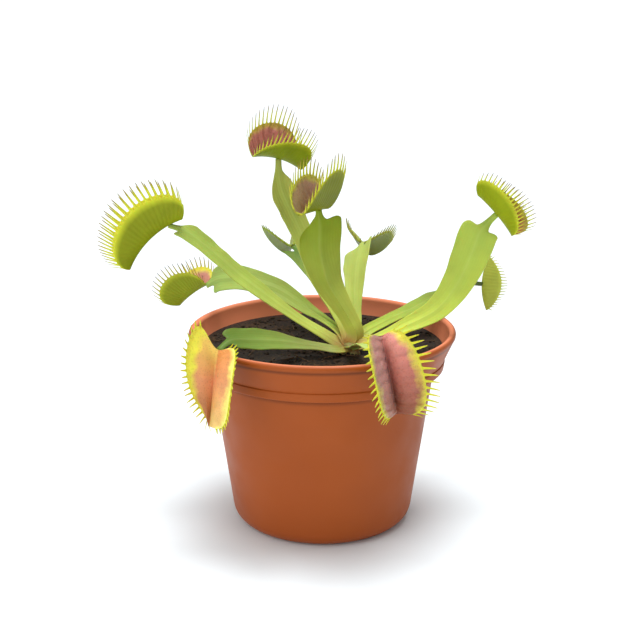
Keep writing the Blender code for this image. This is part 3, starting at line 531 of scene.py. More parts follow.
class Look:
    """A Principled material in the making. Its methods add a node each and give back the node's output.
    Sockets of the shader are named with an underscore for each space."""

    def __init__(self, name, **values):
        self.material = bpy.data.materials.new(name)
        self.material.use_nodes = True
        self.tree = self.material.node_tree
        self.shader = self.tree.nodes["Principled BSDF"]
        self.place = self.add("TexCoord", "Object")
        for key, value in values.items():
            self.shader.inputs[key.replace("_", " ")].default_value = value

    def add(self, kind, output, sockets=None, stops=None, **settings):
        return add_node(self.tree, kind, sockets, stops, **settings).outputs[output]

    def attribute(self, name):
        return self.add("Attribute", "Fac", attribute_name=name)

    def clouds(self, size, detail=2.0, place=None):
        """Noise with features of a size in millimetres."""
        return self.add("TexNoise", "Fac", {"Vector": place or self.place, "Scale": pattern_scale(size),
                                            "Detail": detail})

    def cells(self, size):
        """Distance from the middle of the nearest cell, for cells of a size in millimetres."""
        return self.add("TexVoronoi", "Distance", {"Vector": self.place, "Scale": pattern_scale(size)})

    def remap(self, value, low, high, new_low=0.0, new_high=1.0):
        return self.add("MapRange", "Result", {"Value": value, "From Min": low, "From Max": high,
                                               "To Min": new_low, "To Max": new_high})

    def calc(self, operation, *values):
        return self.add("Math", "Value", dict(enumerate(values)), operation=operation)

    def ramp(self, value, *stops):
        return self.add("ValToRGB", "Color", {"Fac": value}, stops)

    def blend(self, share, low, high):
        """From one colour, at a share of 0, to another, at 1."""
        return self.add("Mix", 2, {0: share, 6: low, 7: high}, data_type="RGBA")

    def shade(self, colour, factor):
        """A colour made darker or lighter by a factor."""
        return self.add("VectorMath", "Vector", {0: colour, 3: factor}, operation="SCALE")

    def bump(self, height, strength, depth, **under):
        """A bump of a depth in millimetres, on the Normal of another bump if there is one."""
        return self.add("Bump", "Normal", {"Height": height, "Strength": strength, "Distance": depth * MM,
                                           **under})

    def finish(self, **outputs):
        """Links outputs to the shader and gives back the material."""
        for key, output in outputs.items():
            self.tree.links.new(output, self.shader.inputs[key.replace("_", " ")])
        return self.material


def moulded_polypropylene():
    """Terracotta-coloured polypropylene, injection moulded: an even satin skin with faint flow clouds in the
    colour, a fine grain of 0.5 mm from the mould, drawn coarser than life so that it shows, and dull rubbed
    patches that break the highlight. Painted shade darkens the grooves under the lip and under the band, and
    painted light makes the inner wall paler."""
    look = Look("moulded_polypropylene", IOR=1.49, Specular_IOR_Level=0.18)
    colour = look.ramp(look.clouds(28, 3.0), (0.3, "#9E4B1A"), (0.7, "#A5501D"))
    # Painted light: the inner wall above the ledge is made paler than the outside.
    paler = look.blend(look.attribute("inside"), colour, srgb("#EE8E68"))
    # Painted shade: the grooves under the lip and under the band are darkened to 0.45 of their colour.
    groove_shade = look.remap(look.attribute("groove"), 0.0, 1.0, 1.0, 0.45)
    rubbed = look.remap(look.clouds(9, 5.0), 0.35, 0.7, 0.4, 0.55)
    grain = look.bump(look.clouds(0.5), 0.08, 0.1)
    return look.finish(Base_Color=look.shade(paler, groove_shade), Roughness=rubbed, Normal=grain)


def damp_peat():
    """Milled peat, damp: nearly black crumbs with brown fibrous patches, dull but for a little wet sheen."""
    look = Look("damp_peat", IOR=1.4)
    patches = look.clouds(13, 4.0)
    mixed = look.calc("MULTIPLY_ADD", patches, look.cells(1.1), 0.12)
    colour = look.ramp(mixed, (0.1, "#150F09"), (0.32, "#24190F"), (0.5, "#3A2917"), (0.75, "#4E3820"))
    wet = look.remap(patches, 0.3, 0.7, 0.62, 0.95)
    grain = look.bump(look.clouds(0.6, 3.0), 0.7, 0.3)
    return look.finish(Base_Color=colour, Roughness=wet, Normal=grain)


def peat_fibre():
    """Dry plant fibres in peat: matte straw brown, paler than the crumbs round them."""
    look = Look("peat_fibre", IOR=1.45, Roughness=0.85)
    return look.finish(Base_Color=look.ramp(look.clouds(5), (0.35, "#3A2A1C"), (0.65, "#6B5136")))


def white_rhizome():
    """Fleshy underground stem of old leaf bases: waxy and sallow with brown stains, streaked lengthwise."""
    look = Look("white_rhizome", IOR=1.4, Roughness=0.42, Subsurface_Weight=0.25, Subsurface_Scale=1.2 * MM)
    drawn = look.add("Mapping", "Vector", {"Vector": look.place, "Scale": (1.0, 1.0, 0.2)})
    streaks = look.clouds(1.4, place=drawn)
    return look.finish(Base_Color=look.ramp(streaks, (0.3, "#7E6238"), (0.6, "#A6A060")))


def petiole_blade(name, tones):
    """Living leaf blade: a thin waxy skin over juicy tissue. Light soaks in and softens its shading, the foot
    turns brownish yellow where it leaves the crown, and parallel veins run 0.9 mm apart along it."""
    # The tones hold painted light and shade as well as the leaf's own green: parts in shade are darker.
    lower, middle, upper = tones
    look = Look(f"petiole_blade_{name}", IOR=1.42, Roughness=0.45, Specular_IOR_Level=LEAF_SHEEN,
                Subsurface_Weight=0.2, Subsurface_Scale=1.5 * MM)
    body = look.ramp(look.attribute("along"), (0.0, "#B4804E"), (0.05, "#BCA05C"), (0.1, "#B6B658"),
                     (0.17, lower), (0.55, middle), (0.93, upper))
    side = look.calc("ABSOLUTE", look.attribute("across"))
    paler = look.blend(look.remap(side, 0.02, 0.14, 0.07, 0.0), body, srgb("#DCE79A"))
    veins = look.calc("COSINE", look.calc("MULTIPLY", look.attribute("offset"), math.tau / VEIN_PITCH))
    blotches = look.remap(look.clouds(7, 3.0), 0.3, 0.7, 0.93, 1.06)
    both = look.calc("MULTIPLY", blotches, look.remap(veins, -1.0, 1.0, 0.985, 1.01))
    return look.finish(Base_Color=look.shade(paler, both), Normal=look.bump(veins, 0.25, 0.05))


def trap_skin(name, trap):
    """Outer skin of a trap: waxy olive green that turns yellow at the margin and along the teeth, whose tips
    are tinged brown. Fine ribs run out to each tooth."""
    look = Look(f"trap_skin_{name}", IOR=1.42, Roughness=0.45, Specular_IOR_Level=LEAF_SHEEN,
                Subsurface_Weight=0.15, Subsurface_Scale=1.0 * MM)
    (skin, margin), (tooth, tip) = trap["skin"], trap["teeth_tone"]
    half = look.calc("DIVIDE", look.calc("ABSOLUTE", look.attribute("reach")), 2.0)
    body = look.ramp(half, (0.0, skin), (0.4, skin), (0.48, margin),
                     (0.54, tooth), (0.72, tooth), (0.94, tip))
    blotches = look.remap(look.clouds(5, 4.0), 0.3, 0.7, 0.9, 1.08)
    ribs = look.calc("COSINE", look.calc("MULTIPLY", look.attribute("station"), math.pi))
    return look.finish(Base_Color=look.shade(body, blotches), Normal=look.bump(ribs, 0.3, 0.08))


def trap_lining(name, trap):
    """Inner lining of a trap: a plump moist pad, flushed pink or yellow, wrinkled across and stippled with
    glands, inside a nectar band. The glands are 0.2 mm in life and are drawn at 0.7 mm so that they show."""
    look = Look(f"trap_lining_{name}", IOR=1.42, Roughness=0.42, Specular_IOR_Level=LEAF_SHEEN,
                Subsurface_Weight=0.2, Subsurface_Scale=1.2 * MM)
    reach = look.attribute("reach")
    out = look.calc("ABSOLUTE", reach)
    half = look.calc("DIVIDE", out, 2.0)
    length = look.remap(look.attribute("along"), -1.0, 1.0)
    second = look.remap(reach, -0.03, 0.03)
    pads = [look.ramp(length, *zip((0.08, 0.4, 0.85), lobe.lining)) for lobe in trap["lobes"]]
    pad = look.blend(second, *pads)
    nectar = look.blend(second, *[srgb(lobe.nectar) for lobe in trap["lobes"]])
    rims = [look.remap(length, 0.0, 1.0, *lobe.rim) for lobe in trap["lobes"]]
    rim = look.add("Mix", 0, {0: second, 2: rims[0], 3: rims[1]})
    teeth = look.ramp(half, *zip((0.72, 0.94), trap["teeth_tone"]))
    band = look.blend(look.remap(half, 0.5, 0.56), nectar, teeth)
    uneven = look.clouds(4, 4.0)
    beyond = look.calc("ADD", look.calc("SUBTRACT", out, rim), look.remap(uneven, 0.3, 0.7, -0.08, 0.08))
    body = look.blend(look.remap(beyond, -0.14, 0.06), pad, band)
    glands = look.cells(0.7)
    both = look.calc("MULTIPLY", look.remap(glands, 0.1, 0.4, 0.84, 1.03),
                     look.remap(uneven, 0.3, 0.7, 0.9, 1.08))
    shifted = look.calc("MULTIPLY_ADD", uneven, 5.0, look.attribute("station"))
    folds = look.calc("COSINE", look.calc("MULTIPLY", shifted, math.pi / 2))
    wrinkles = look.bump(folds, 0.8, trap["folds"], Normal=look.bump(glands, 0.3, 0.12))
    return look.finish(Base_Color=look.shade(body, both), Normal=wrinkles)


# Pot

def body_radius(z):
    """Outer radius of the pot's tapered body."""
    return BODY_FOOT_RADIUS + (BODY_TOP_RADIUS - BODY_FOOT_RADIUS) * z / LEDGE_HEIGHT


def band_radius(z):
    """Outer radius of the pot's band between its bead and the lip."""
    share = (z - BEAD_TOP) / (LIP_FOOT - BEAD_TOP)
    return BAND_FOOT_RADIUS + (POT_RIM_RADIUS - LIP_PROUD - BAND_FOOT_RADIUS) * share


def arc(centre, radius, start, end, steps):
    """Points (r, z) along an arc, with both its ends."""
    angles = [math.radians(start + (end - start) * i / steps) for i in range(steps + 1)]
    return [(centre[0] + radius * math.cos(a), centre[1] + radius * math.sin(a)) for a in angles]


def inner_wall(clearance):
    """The pot's inner face from the lip to the floor, moved inwards by a clearance."""
    band_slope = (POT_RIM_RADIUS - BAND_FOOT_RADIUS) / (POT_HEIGHT - BEAD_TOP)
    step_low = LEDGE_HEIGHT - WALL
    step_high = LEDGE_HEIGHT + WALL
    lip = POT_RIM_RADIUS - LIP_WIDTH
    return [
        (lip - clearance, LIP_FOOT),
        (lip - clearance - band_slope * (LIP_FOOT - step_high), step_high),
        (body_radius(step_low) - WALL - clearance, step_low),
        (body_radius(HEEL_RADIUS) - WALL - clearance, HEEL_RADIUS),
        (body_radius(FLOOR) - WALL - INNER_HEEL - clearance, FLOOR + clearance),
    ]


def pot_profile():
    """The pot's outline (r, z) from the middle of its underside, up its outside, and down its inside."""
    heel_centre = (body_radius(HEEL_RADIUS) - HEEL_RADIUS, HEEL_RADIUS)
    lip = LIP_WIDTH / 2
    bead = BEAD_PROUD
    return [
        (RECESS_INNER_RADIUS, 0),
        (RECESS_INNER_RADIUS + RECESS_DEPTH, RECESS_DEPTH),
        (RECESS_OUTER_RADIUS, RECESS_DEPTH),
        (RECESS_OUTER_RADIUS + RECESS_DEPTH, 0),
        *arc(heel_centre, HEEL_RADIUS, -90, -6, ARC_STEPS),
        (body_radius(LEDGE_HEIGHT - LEDGE_GROOVE), LEDGE_HEIGHT - LEDGE_GROOVE),
        (BODY_TOP_RADIUS, LEDGE_HEIGHT - LEDGE_CHAMFER),
        (BAND_FOOT_RADIUS - LEDGE_CHAMFER, LEDGE_HEIGHT),
        *arc((BAND_FOOT_RADIUS - LEDGE_CHAMFER, LEDGE_HEIGHT + LEDGE_CHAMFER), LEDGE_CHAMFER, -60, 0, 3),
        (BAND_FOOT_RADIUS + bead, BEAD_TOP - 2 * bead),
        (BAND_FOOT_RADIUS + bead, BEAD_TOP - bead),
        (BAND_FOOT_RADIUS, BEAD_TOP),
        (band_radius(LIP_FOOT - LIP_GROOVE), LIP_FOOT - LIP_GROOVE),
        (band_radius(LIP_FOOT), LIP_FOOT),
        *arc((POT_RIM_RADIUS - lip, POT_HEIGHT - lip), lip, -20, 180, ARC_STEPS),
        *inner_wall(0),
    ]


def turn_up(name, profile):
    """Models a turned shell from a disc: its rim is extruded from one point of the profile to the next."""
    (radius, height), *rest = profile
    obj = add_new(bpy.ops.mesh.primitive_circle_add, name, vertices=POT_STEPS, radius=radius * MM,
                  fill_type="NGON", location=(0, 0, height * MM))
    bpy.ops.object.transform_apply(location=True)
    bpy.ops.object.mode_set(mode="EDIT")
    bpy.ops.mesh.select_mode(type="EDGE")
    extrude_rings(radius, height, rest)
    leave_facing_outward()
    return obj


def inside_share(place):
    """1 on the pot's inner wall above the ledge, which is painted paler as painted light, and 0 on its
    outside.
    """
    if place.z < LEDGE_HEIGHT + WALL / 2:
        return 0.0
    outer = band_radius(max(place.z, BEAD_TOP))
    return smoothstep((outer - math.hypot(place.x, place.y) - WALL / 2) / WALL)


def groove_share(place):
    """1 right under the lip and right under the band, where shade is painted in, and 0 elsewhere."""
    radius = math.hypot(place.x, place.y)
    grooves = ((band_radius(LIP_FOOT), LIP_FOOT), (BODY_TOP_RADIUS, LEDGE_HEIGHT - LEDGE_CHAMFER))
    return float(any(math.hypot(radius - r, place.z - z) < GROOVE_REACH for r, z in grooves))


def make_pot():
    pot = turn_up("moulded_pot", pot_profile())
    for i in range(DRAIN_HOLES):
        angle = math.tau * (i + 0.5) / DRAIN_HOLES
        ring = DRAIN_RING_RADIUS * MM
        drill = add_new(bpy.ops.mesh.primitive_cylinder_add, "drain_drill", vertices=DRAIN_HOLE_STEPS,
                        radius=DRAIN_HOLE_RADIUS * MM, depth=4 * FLOOR * MM,
                        location=(ring * math.cos(angle), ring * math.sin(angle), 0))
        add_modifier(pot, "drain", "BOOLEAN", operation="DIFFERENCE", object=drill)
        bpy.data.objects.remove(drill)
    places = [vert.co / MM for vert in pot.data.vertices]
    write_layers(pot, {"inside": [inside_share(place) for place in places],
                       "groove": [groove_share(place) for place in places]})
    pot.data.materials.append(moulded_polypropylene())
    finish_piece(pot, "pot_plastic", "pot", sharp=POT_SHARP)


# Soil

def soil_height(x, y):
    """Crumbly relief of the soil's surface, from two sizes of noise."""
    coarse = noise.noise(Vector((x, y, 0)) / COARSE_CRUMB)
    fine = noise.noise(Vector((x, y, 0)) / FINE_CRUMB)
    return SOIL_TOP + SOIL_RELIEF * (coarse + fine / 2)


def surface_radius():
    """Radius of the soil at its surface, where it meets the pot's band."""
    (upper_r, upper_z), (lower_r, lower_z) = inner_wall(GAP)[:2]
    return lower_r + (upper_r - lower_r) * (SOIL_TOP - lower_z) / (upper_z - lower_z)


def make_soil():
    """The fill is a disc grown outwards ring by ring, then down the pot's wall, with its top roughened."""
    rim = surface_radius()
    soil = add_new(bpy.ops.mesh.primitive_circle_add, "peat_fill", vertices=SOIL_SPOKES,
                   radius=rim / SOIL_RINGS * MM, fill_type="TRIFAN", location=(0, 0, SOIL_TOP * MM))
    bpy.ops.object.transform_apply(location=True)
    in_edit_mode("EDGE")
    bm = bmesh.from_edit_mesh(soil.data)
    for edge in bm.edges:
        edge.select_set(edge.is_boundary)
    bmesh.update_edit_mesh(soil.data)
    for i in range(1, SOIL_RINGS):
        bpy.ops.mesh.extrude_edges_move()
        bpy.ops.transform.resize(value=((i + 1) / i, (i + 1) / i, 1), center_override=(0, 0, SOIL_TOP * MM))
    extrude_rings(rim, SOIL_TOP, inner_wall(GAP)[1:])
    leave_edit_mode()
    roughen(soil, rim)
    soil.data.materials.append(damp_peat())
    soil.data.materials.append(peat_fibre())
    join_into(soil, scatter_crumbs(rim) + scatter_fibres(rim))
    use_only(soil)
    bpy.ops.object.mode_set(mode="EDIT")
    leave_facing_outward()
    finish_piece(soil, "soil", "soil", sharp=SOIL_SHARP)


def roughen(soil, rim):
    """Lifts the soil's surface into its relief and covers it with grains, which fade out at the pot."""
    for vert in soil.data.vertices:
        if vert.co.z < (SOIL_TOP - NEARLY) * MM:
            continue
        x, y = vert.co.x / MM, vert.co.y / MM
        fade = smoothstep((rim - math.hypot(x, y)) / SOIL_FADE)
        cells = noise.voronoi(Vector((x, y, 0)) / GRAIN_SIZE)[0]
        grains = GRAIN_HEIGHT * (cells[1] - cells[0] - GRAIN_LEVEL)
        vert.co.z = MM * (SOIL_TOP + fade * (soil_height(x, y) - SOIL_TOP + grains))


def soil_spot(draw, rim):
    """A random point on the soil's surface, clear of the pot's wall."""
    radius = (rim - CRUMB_CLEARANCE) * math.sqrt(draw.random())
    angle = draw.uniform(0, math.tau)
    x, y = radius * math.cos(angle), radius * math.sin(angle)
    return Vector((x, y, soil_height(x, y)))


def scatter_crumbs(rim):
    """Loose crumbs of peat, each a squashed pebble sunk a little into the surface."""
    draw = random.Random(SEED)
    crumbs = []
    low, high = CRUMB_SIZES
    first = add_new(bpy.ops.mesh.primitive_ico_sphere_add, "crumb", subdivisions=1, radius=MM)
    first.data.materials.append(bpy.data.materials["damp_peat"])
    for _ in range(CRUMBS):
        crumb = first.copy()
        crumb.data = first.data.copy()
        bpy.context.scene.collection.objects.link(crumb)
        size = low + (high - low) * draw.random() ** 2
        length = size * draw.uniform(*CRUMB_LENGTHS)
        shape = Matrix.Diagonal((length, size, size * draw.uniform(*CRUMB_HEIGHTS), 1.0))
        turn = Matrix.Rotation(draw.uniform(0, math.tau), 4, "Z")
        turn = turn @ Matrix.Rotation(draw.uniform(*CRUMB_TILTS), 4, "X")
        crumb.data.transform(Matrix.Translation(soil_spot(draw, rim) * MM) @ turn @ shape)
        crumbs.append(crumb)
    bpy.data.objects.remove(first)
    return crumbs


def scatter_fibres(rim):
    """Short bits of plant fibre that lie on the surface."""
    draw = random.Random(SEED + 1)
    fibres = []
    for _ in range(FIBRES):
        length = draw.uniform(*FIBRE_LENGTHS)
        fibre = add_new(bpy.ops.mesh.primitive_cylinder_add, "fibre", vertices=5, radius=FIBRE_RADIUS * MM,
                        depth=length * MM)
        spot = soil_spot(draw, rim - length / 2)
        turn = (Matrix.Rotation(draw.uniform(0, math.tau), 4, "Z")
                @ Matrix.Rotation(math.radians(90 + draw.uniform(*FIBRE_TILTS)), 4, "X"))
        fibre.data.transform(Matrix.Translation((spot + FIBRE_LIFT) * MM) @ turn)
        fibre.data.materials.append(bpy.data.materials["peat_fibre"])
        fibres.append(fibre)
    return fibres


# Rootstock

def make_rootstock():
    """The bulb is a ball drawn down in edit mode, and each root a tapered cone below it."""
    centre = CROWN - Vector((0, 0, BULB_DEPTH * BULB_MIDDLE))
    bulb = add_new(bpy.ops.mesh.primitive_uv_sphere_add, "rhizome", segments=40, ring_count=24,
                   radius=BULB_RADIUS * MM, location=centre * MM)
    bpy.ops.object.transform_apply(location=True)
    use_only(bulb)
    bpy.ops.object.mode_set(mode="EDIT")
    bpy.ops.mesh.select_all(action="SELECT")
    bpy.ops.transform.resize(value=(1, 1, BULB_DEPTH * BULB_HALF / BULB_RADIUS), center_override=centre * MM)
    leave_edit_mode()
    fold_into_bases(bulb)
    roots = []
    for i in range(ROOTS):
        root = add_new(bpy.ops.mesh.primitive_cone_add, "root", vertices=16, radius1=ROOT_TIP_RADIUS * MM,
                       radius2=ROOT_RADIUS * MM, depth=ROOT_LENGTH * MM)
        turn = math.tau * (i + ROOT_TURN) / ROOTS
        way = Vector((math.cos(turn), math.sin(turn), 0))
        top = CROWN + way * ROOT_OFFSET + Vector((0, 0, ROOT_TOP))
        for vert in root.data.vertices:
            down = ROOT_LENGTH / 2 - vert.co.z / MM
            level = Vector((vert.co.x / MM, vert.co.y / MM, -down))
            vert.co = (top + level + way * down * math.tan(math.radians(ROOT_SPREAD))) * MM
        roots.append(root)
    join_into(bulb, roots)
    bulb.data.materials.append(white_rhizome())
    finish_piece(bulb, "leaf_base", "rootstock", sharp=BULB_SHARP)


def fold_into_bases(bulb):
    """Folds the bulb's side into overlapping leaf bases, one for each leaf."""
    for vert in bulb.data.vertices:
        level = vert.co / MM - CROWN
        turn = math.atan2(level.y, level.x)
        fold = abs(math.sin(turn * len(LEAVES) / 2 + level.z * BASE_TWIST))
        share = 1 + BASE_SWELL * (fold - BASE_LEVEL)
        vert.co.x = (CROWN.x + level.x * share) * MM
        vert.co.y = (CROWN.y + level.y * share) * MM


# Leaves

def leaf_route(leaf):
    """A smooth curve from the crown through a leaf's points, as close positions and their distances."""
    points = [CROWN + CROWN_LIFT] + [Vector(p) for p in leaf["route"]]
    ends = [points[0] * 2 - points[1], *points, points[-1] * 2 - points[-2]]
    dense = []
    for a, b, c, d in zip(ends, ends[1:], ends[2:], ends[3:]):
        for i in range(ROUTE_STEPS):
            t = i / ROUTE_STEPS
            bend = (2 * a - 5 * b + 4 * c - d) * t * t + (3 * b - a - 3 * c + d) * t ** 3
            dense.append(0.5 * (2 * b + (c - a) * t + bend))
    dense.append(points[-1])
    reach = [0.0]
    for a, b in zip(dense, dense[1:]):
        reach.append(reach[-1] + (b - a).length)
    return dense, reach


def leaf_frame(leaf, route, distance):
    """Position, sideways and face vectors of a leaf at a distance along it, also a little past its end."""
    dense, reach = route
    i = 1
    while i < len(reach) - 1 and reach[i] < distance:
        i += 1
    before, after = max(i - ROUTE_EASE - 1, 0), min(i + ROUTE_EASE, len(dense) - 1)
    way = (dense[after] - dense[before]).normalized()
    span = dense[i] - dense[i - 1]
    point = dense[i - 1] + span * (distance - reach[i - 1]) / (reach[i] - reach[i - 1])
    low, high = (Vector(v) for v in leaf["face"])
    face = low.lerp(high, smoothstep(distance / reach[-1]))
    side = way.cross(face).normalized()
    return point, side, side.cross(way).normalized()


def half_width(leaf, end, distance):
    """Half the width of a petiole: slim at its foot, broadest a little before its shoulders."""
    share = (distance - leaf["sheath"]) / (end - leaf["sheath"])
    full = leaf["base"] + (leaf["width"] - leaf["base"]) * smoothstep((share - WIDEN_START) / WIDEN_SPAN)
    return full / 2


def shoulder(leaf, across):
    """How far a point reaches past the blade's end: nothing at the neck, and rounded off at the corners."""
    out = max(abs(across) - NECK_COLUMN, 0.0) / (1 - NECK_COLUMN)
    rounded = CORNER_ROUND * max(0.0, (out - CORNER_START) / (1 - CORNER_START)) ** 2
    return leaf["corners"][0 if across < 0 else 1] * out ** CORNER_EASE - rounded


def blade_thickness(across):
    return PETIOLE_EDGE + (PETIOLE_MIDRIB - PETIOLE_EDGE) * smoothstep(1 - abs(across) / MIDRIB_SHARE)


def blade_point(leaf, route, end, distance, across, lead):
    """A point of a petiole's upper face, in millimetres, and how far it lies from the midrib."""
    point, side, face = leaf_frame(leaf, route, distance + lead)
    half = half_width(leaf, end, distance)
    wave = WAVE_HEIGHT * math.sin(math.tau * distance / WAVE_LENGTH + leaf["width"])
    frill = FRILL_HEIGHT * math.sin(math.tau * distance / FRILL_LENGTH + 2 * across) * abs(across) ** 3
    lift = leaf["camber"] * 2 * half * abs(across) ** CAMBER_POWER + wave * across * abs(across)
    frill *= smoothstep(distance / end - FRILL_START)
    raised = face * (lift + frill + blade_thickness(across) * UPPER_SHARE)
    return point + side * half * across + raised, half * across


def make_petiole(name, leaf):
    """A blade is a grid laid along its route. Its neck is extruded from the middle of its end."""
    route = leaf_route(leaf)
    end = route[1][-1] - leaf["neck"]
    columns = len(ACROSS) - 1
    petiole = add_new(bpy.ops.mesh.primitive_grid_add, f"leaf_blade_{name}", x_subdivisions=columns,
                      y_subdivisions=PETIOLE_ROWS, size=1)
    layers = {"along": [], "across": [], "offset": []}
    for vert in petiole.data.vertices:
        v = ACROSS[round((vert.co.x + 0.5) * columns)]
        distance = FOOT_START + (end - FOOT_START) * (vert.co.y + 0.5)
        ending = smoothstep((distance / end - SHOULDER_START) / (1 - SHOULDER_START))
        point, offset = blade_point(leaf, route, end, distance, v, ending * shoulder(leaf, v))
        vert.co = point * MM
        layers["along"].append(distance / route[1][-1])
        layers["across"].append(v)
        layers["offset"].append(offset)
    write_layers(petiole, layers)
    grow_neck(petiole, leaf, route, end)
    thicken_blade(petiole)
    petiole.data.materials.append(petiole_blade(name, leaf["tone"]))
    finish_piece(petiole, "petiole", f"petiole_{name}")


def grow_neck(petiole, leaf, route, end):
    """Extrudes the middle of the blade's end along the route, row by row, right up to the trap."""
    use_only(petiole)
    in_edit_mode("EDGE")
    bm = bmesh.from_edit_mesh(petiole.data)
    across, along = layers_of(bm, "across", "along")
    last = max(v[along] for v in bm.verts)
    for edge in bm.edges:
        middle = [v for v in edge.verts if v[along] == last and abs(v[across]) < NECK_COLUMN + NEARLY]
        edge.select_set(len(middle) == 2)
    bmesh.update_edit_mesh(petiole.data)
    broad = NECK_COLUMN * half_width(leaf, end, end)
    for row in range(1, NECK_ROWS + 1):
        bpy.ops.mesh.extrude_edges_move()
        bm = bmesh.from_edit_mesh(petiole.data)
        across, along, offset = layers_of(bm, "across", "along", "offset")
        distance = end + (leaf["neck"] + NECK_OVERLAP) * row / NECK_ROWS
        point, side, face = leaf_frame(leaf, route, distance)
        slim = 1 - (1 - min(row / NECK_ROWS / NECK_TAPER, 1.0)) ** 2
        half = broad + (NECK_HALF_WIDTH - broad) * slim
        for vert in [v for v in bm.verts if v.select]:
            share = vert[across] / NECK_COLUMN
            place = point + side * share * half + face * UPPER_SHARE * blade_thickness(vert[across])
            vert.co = place * MM
            vert[along] = distance / route[1][-1]
            vert[offset] = share * half
        bmesh.update_edit_mesh(petiole.data)
    leave_edit_mode()


def thicken_blade(petiole):
    """Gives the blade its body: thin at the edges and full along the midrib."""
    across = [point.value for point in petiole.data.attributes["across"].data]
    write_weights(petiole, "body", [blade_thickness(v) / PETIOLE_MIDRIB for v in across])
    add_modifier(petiole, "body", "SOLIDIFY", thickness=PETIOLE_MIDRIB * MM, offset=-1, vertex_group="body",
                 use_quality_normals=True)
    round_off(petiole)


# Traps

def lobe_section(lobe):
    """A lobe's section across the trap, as (sideways, outwards) at even steps out to the margin."""
    half, depth = lobe.opening, lobe.depth
    y = z = 0.0
    points = [(0.0, 0.0)]
    for i in range(SECTION_STEPS):
        share = (i + 0.5) / SECTION_STEPS
        at_hinge = math.exp(-share / HINGE_SHARE)
        lean = math.radians(half + LOBE_CURL * (0.5 - share) + (90 - half) * at_hinge)
        y += math.sin(lean) * depth / SECTION_STEPS
        z += math.cos(lean) * depth / SECTION_STEPS
        points.append((y, z))
    return points


def trap_axes(trap):
    midrib = Vector(trap["midrib"]).normalized()
    gape = Vector(trap["gape"])
    gape = (gape - midrib * gape.dot(midrib)).normalized()
    return midrib, gape.cross(midrib).normalized(), gape


class Lobes:
    """The outer face of a trap: u runs from -1 to 1 along the midrib, v from -1 to 1 between the margins."""

    def __init__(self, leaf):
        self.trap = leaf["trap"]
        self.axes = trap_axes(self.trap)
        self.sections = [lobe_section(lobe) for lobe in self.trap["lobes"]]
        self.shift = Vector((0, 0, 0))
        self.shift = Vector(leaf["route"][-1]) - self.point(self.trap["attach"], 0.0)

    def lobe(self, v):
        return self.trap["lobes"][0 if v < 0 else 1]

    def point(self, u, v):
        section = self.sections[0 if v < 0 else 1]
        midrib, lateral, gape = self.axes
        full_bend = math.radians(self.trap["bend"])
        radius = self.trap["length"] / 2 / full_bend
        bend = full_bend * u
        hinge = midrib * radius * math.sin(bend) - gape * radius * (1 - math.cos(bend))
        near_fan, far_fan = self.lobe(v).fan
        fan = bend + math.radians((near_fan + far_fan) / 2 * u + (far_fan - near_fan) / 2 * u * u)
        outwards = gape * math.cos(fan) + midrib * math.sin(fan)
        place = self.span(u, v) * abs(v) * (len(section) - 1)
        step = min(int(place), len(section) - 2)
        (y0, z0), (y1, z1) = section[step:step + 2]
        y = (y0 + (y1 - y0) * (place - step)) * (1 if v > 0 else -1)
        z = z0 + (z1 - z0) * (place - step)
        keel = KEEL * math.exp(-(v / KEEL_SHARE) ** 2) * max(1 - u * u, 0.0)
        return self.shift + hinge + lateral * y + outwards * (z - keel)

    def span(self, u, v):
        """How deep a lobe is at a place along the midrib, as a share of its full depth."""
        near, far = self.lobe(v).ends
        widest = (near - far) / (near + far)
        low, high = max(1 + u, 0.0) / (1 + widest), max(1 - u, 0.0) / (1 - widest)
        return low ** near * high ** far

    def thickness(self, u, v):
        """Wall of a lobe: thin at the hinge and the margin, full under the pad."""
        inner = (abs(v) - PAD_START) / (PAD_END - PAD_START)
        swell = math.sin(math.pi * min(max(inner, 0.0), 1.0)) ** PAD_FULLNESS
        return LOBE_EDGE + self.lobe(v).pad * swell * max(1 - abs(u) ** 4, 0.0)

    def tooth_way(self, u, side):
        """The way that a tooth leaves the margin."""
        plain = (self.point(u, side) - self.point(u * TOOTH_FAN, side * TOOTH_ROOT)).normalized()
        splay = self.lobe(side).splay
        return (plain + self.axes[1] * side * splay + self.axes[2] * TOOTH_GATHER).normalized()

    def bare_length(self, end):
        """How much of the margin has no teeth at one end, 0 or 1: the blunter the lobes, the more."""
        blunt = sum(lobe.depth * (1 - min(lobe.ends[end], 1)) for lobe in self.trap["lobes"])
        return BARE_SHARE * blunt

    def stations(self):
        """Places along the midrib that are evenly spaced on the margin: a few to each bare end, and between
        them one for each side of each tooth."""
        angles = [math.pi / 2 * (2 * i / MARGIN_STEPS - 1) for i in range(MARGIN_STEPS + 1)]
        shares = [LAST_STATION * math.sin(a) for a in angles]
        reach = [0.0]
        for a, b in zip(shares, shares[1:]):
            reach.append(reach[-1] + sum((self.point(b, v) - self.point(a, v)).length for v in (-1, 1)) / 2)
        near, far = self.bare_length(0), self.bare_length(1)
        spans = 2 * self.trap["teeth"] - 1
        toothed = reach[-1] - near - far
        places = [near * i / END_SPANS for i in range(END_SPANS)]
        places += [near + toothed * i / spans for i in range(spans)]
        places += [reach[-1] - far * (1 - i / END_SPANS) for i in range(END_SPANS + 1)]
        found = []
        for place in places:
            i = next((k for k in range(1, len(reach)) if reach[k] >= place - 1e-6), len(reach) - 1)
            part = (place - reach[i - 1]) / (reach[i] - reach[i - 1])
            found.append(shares[i - 1] + (shares[i] - shares[i - 1]) * part)
        return found


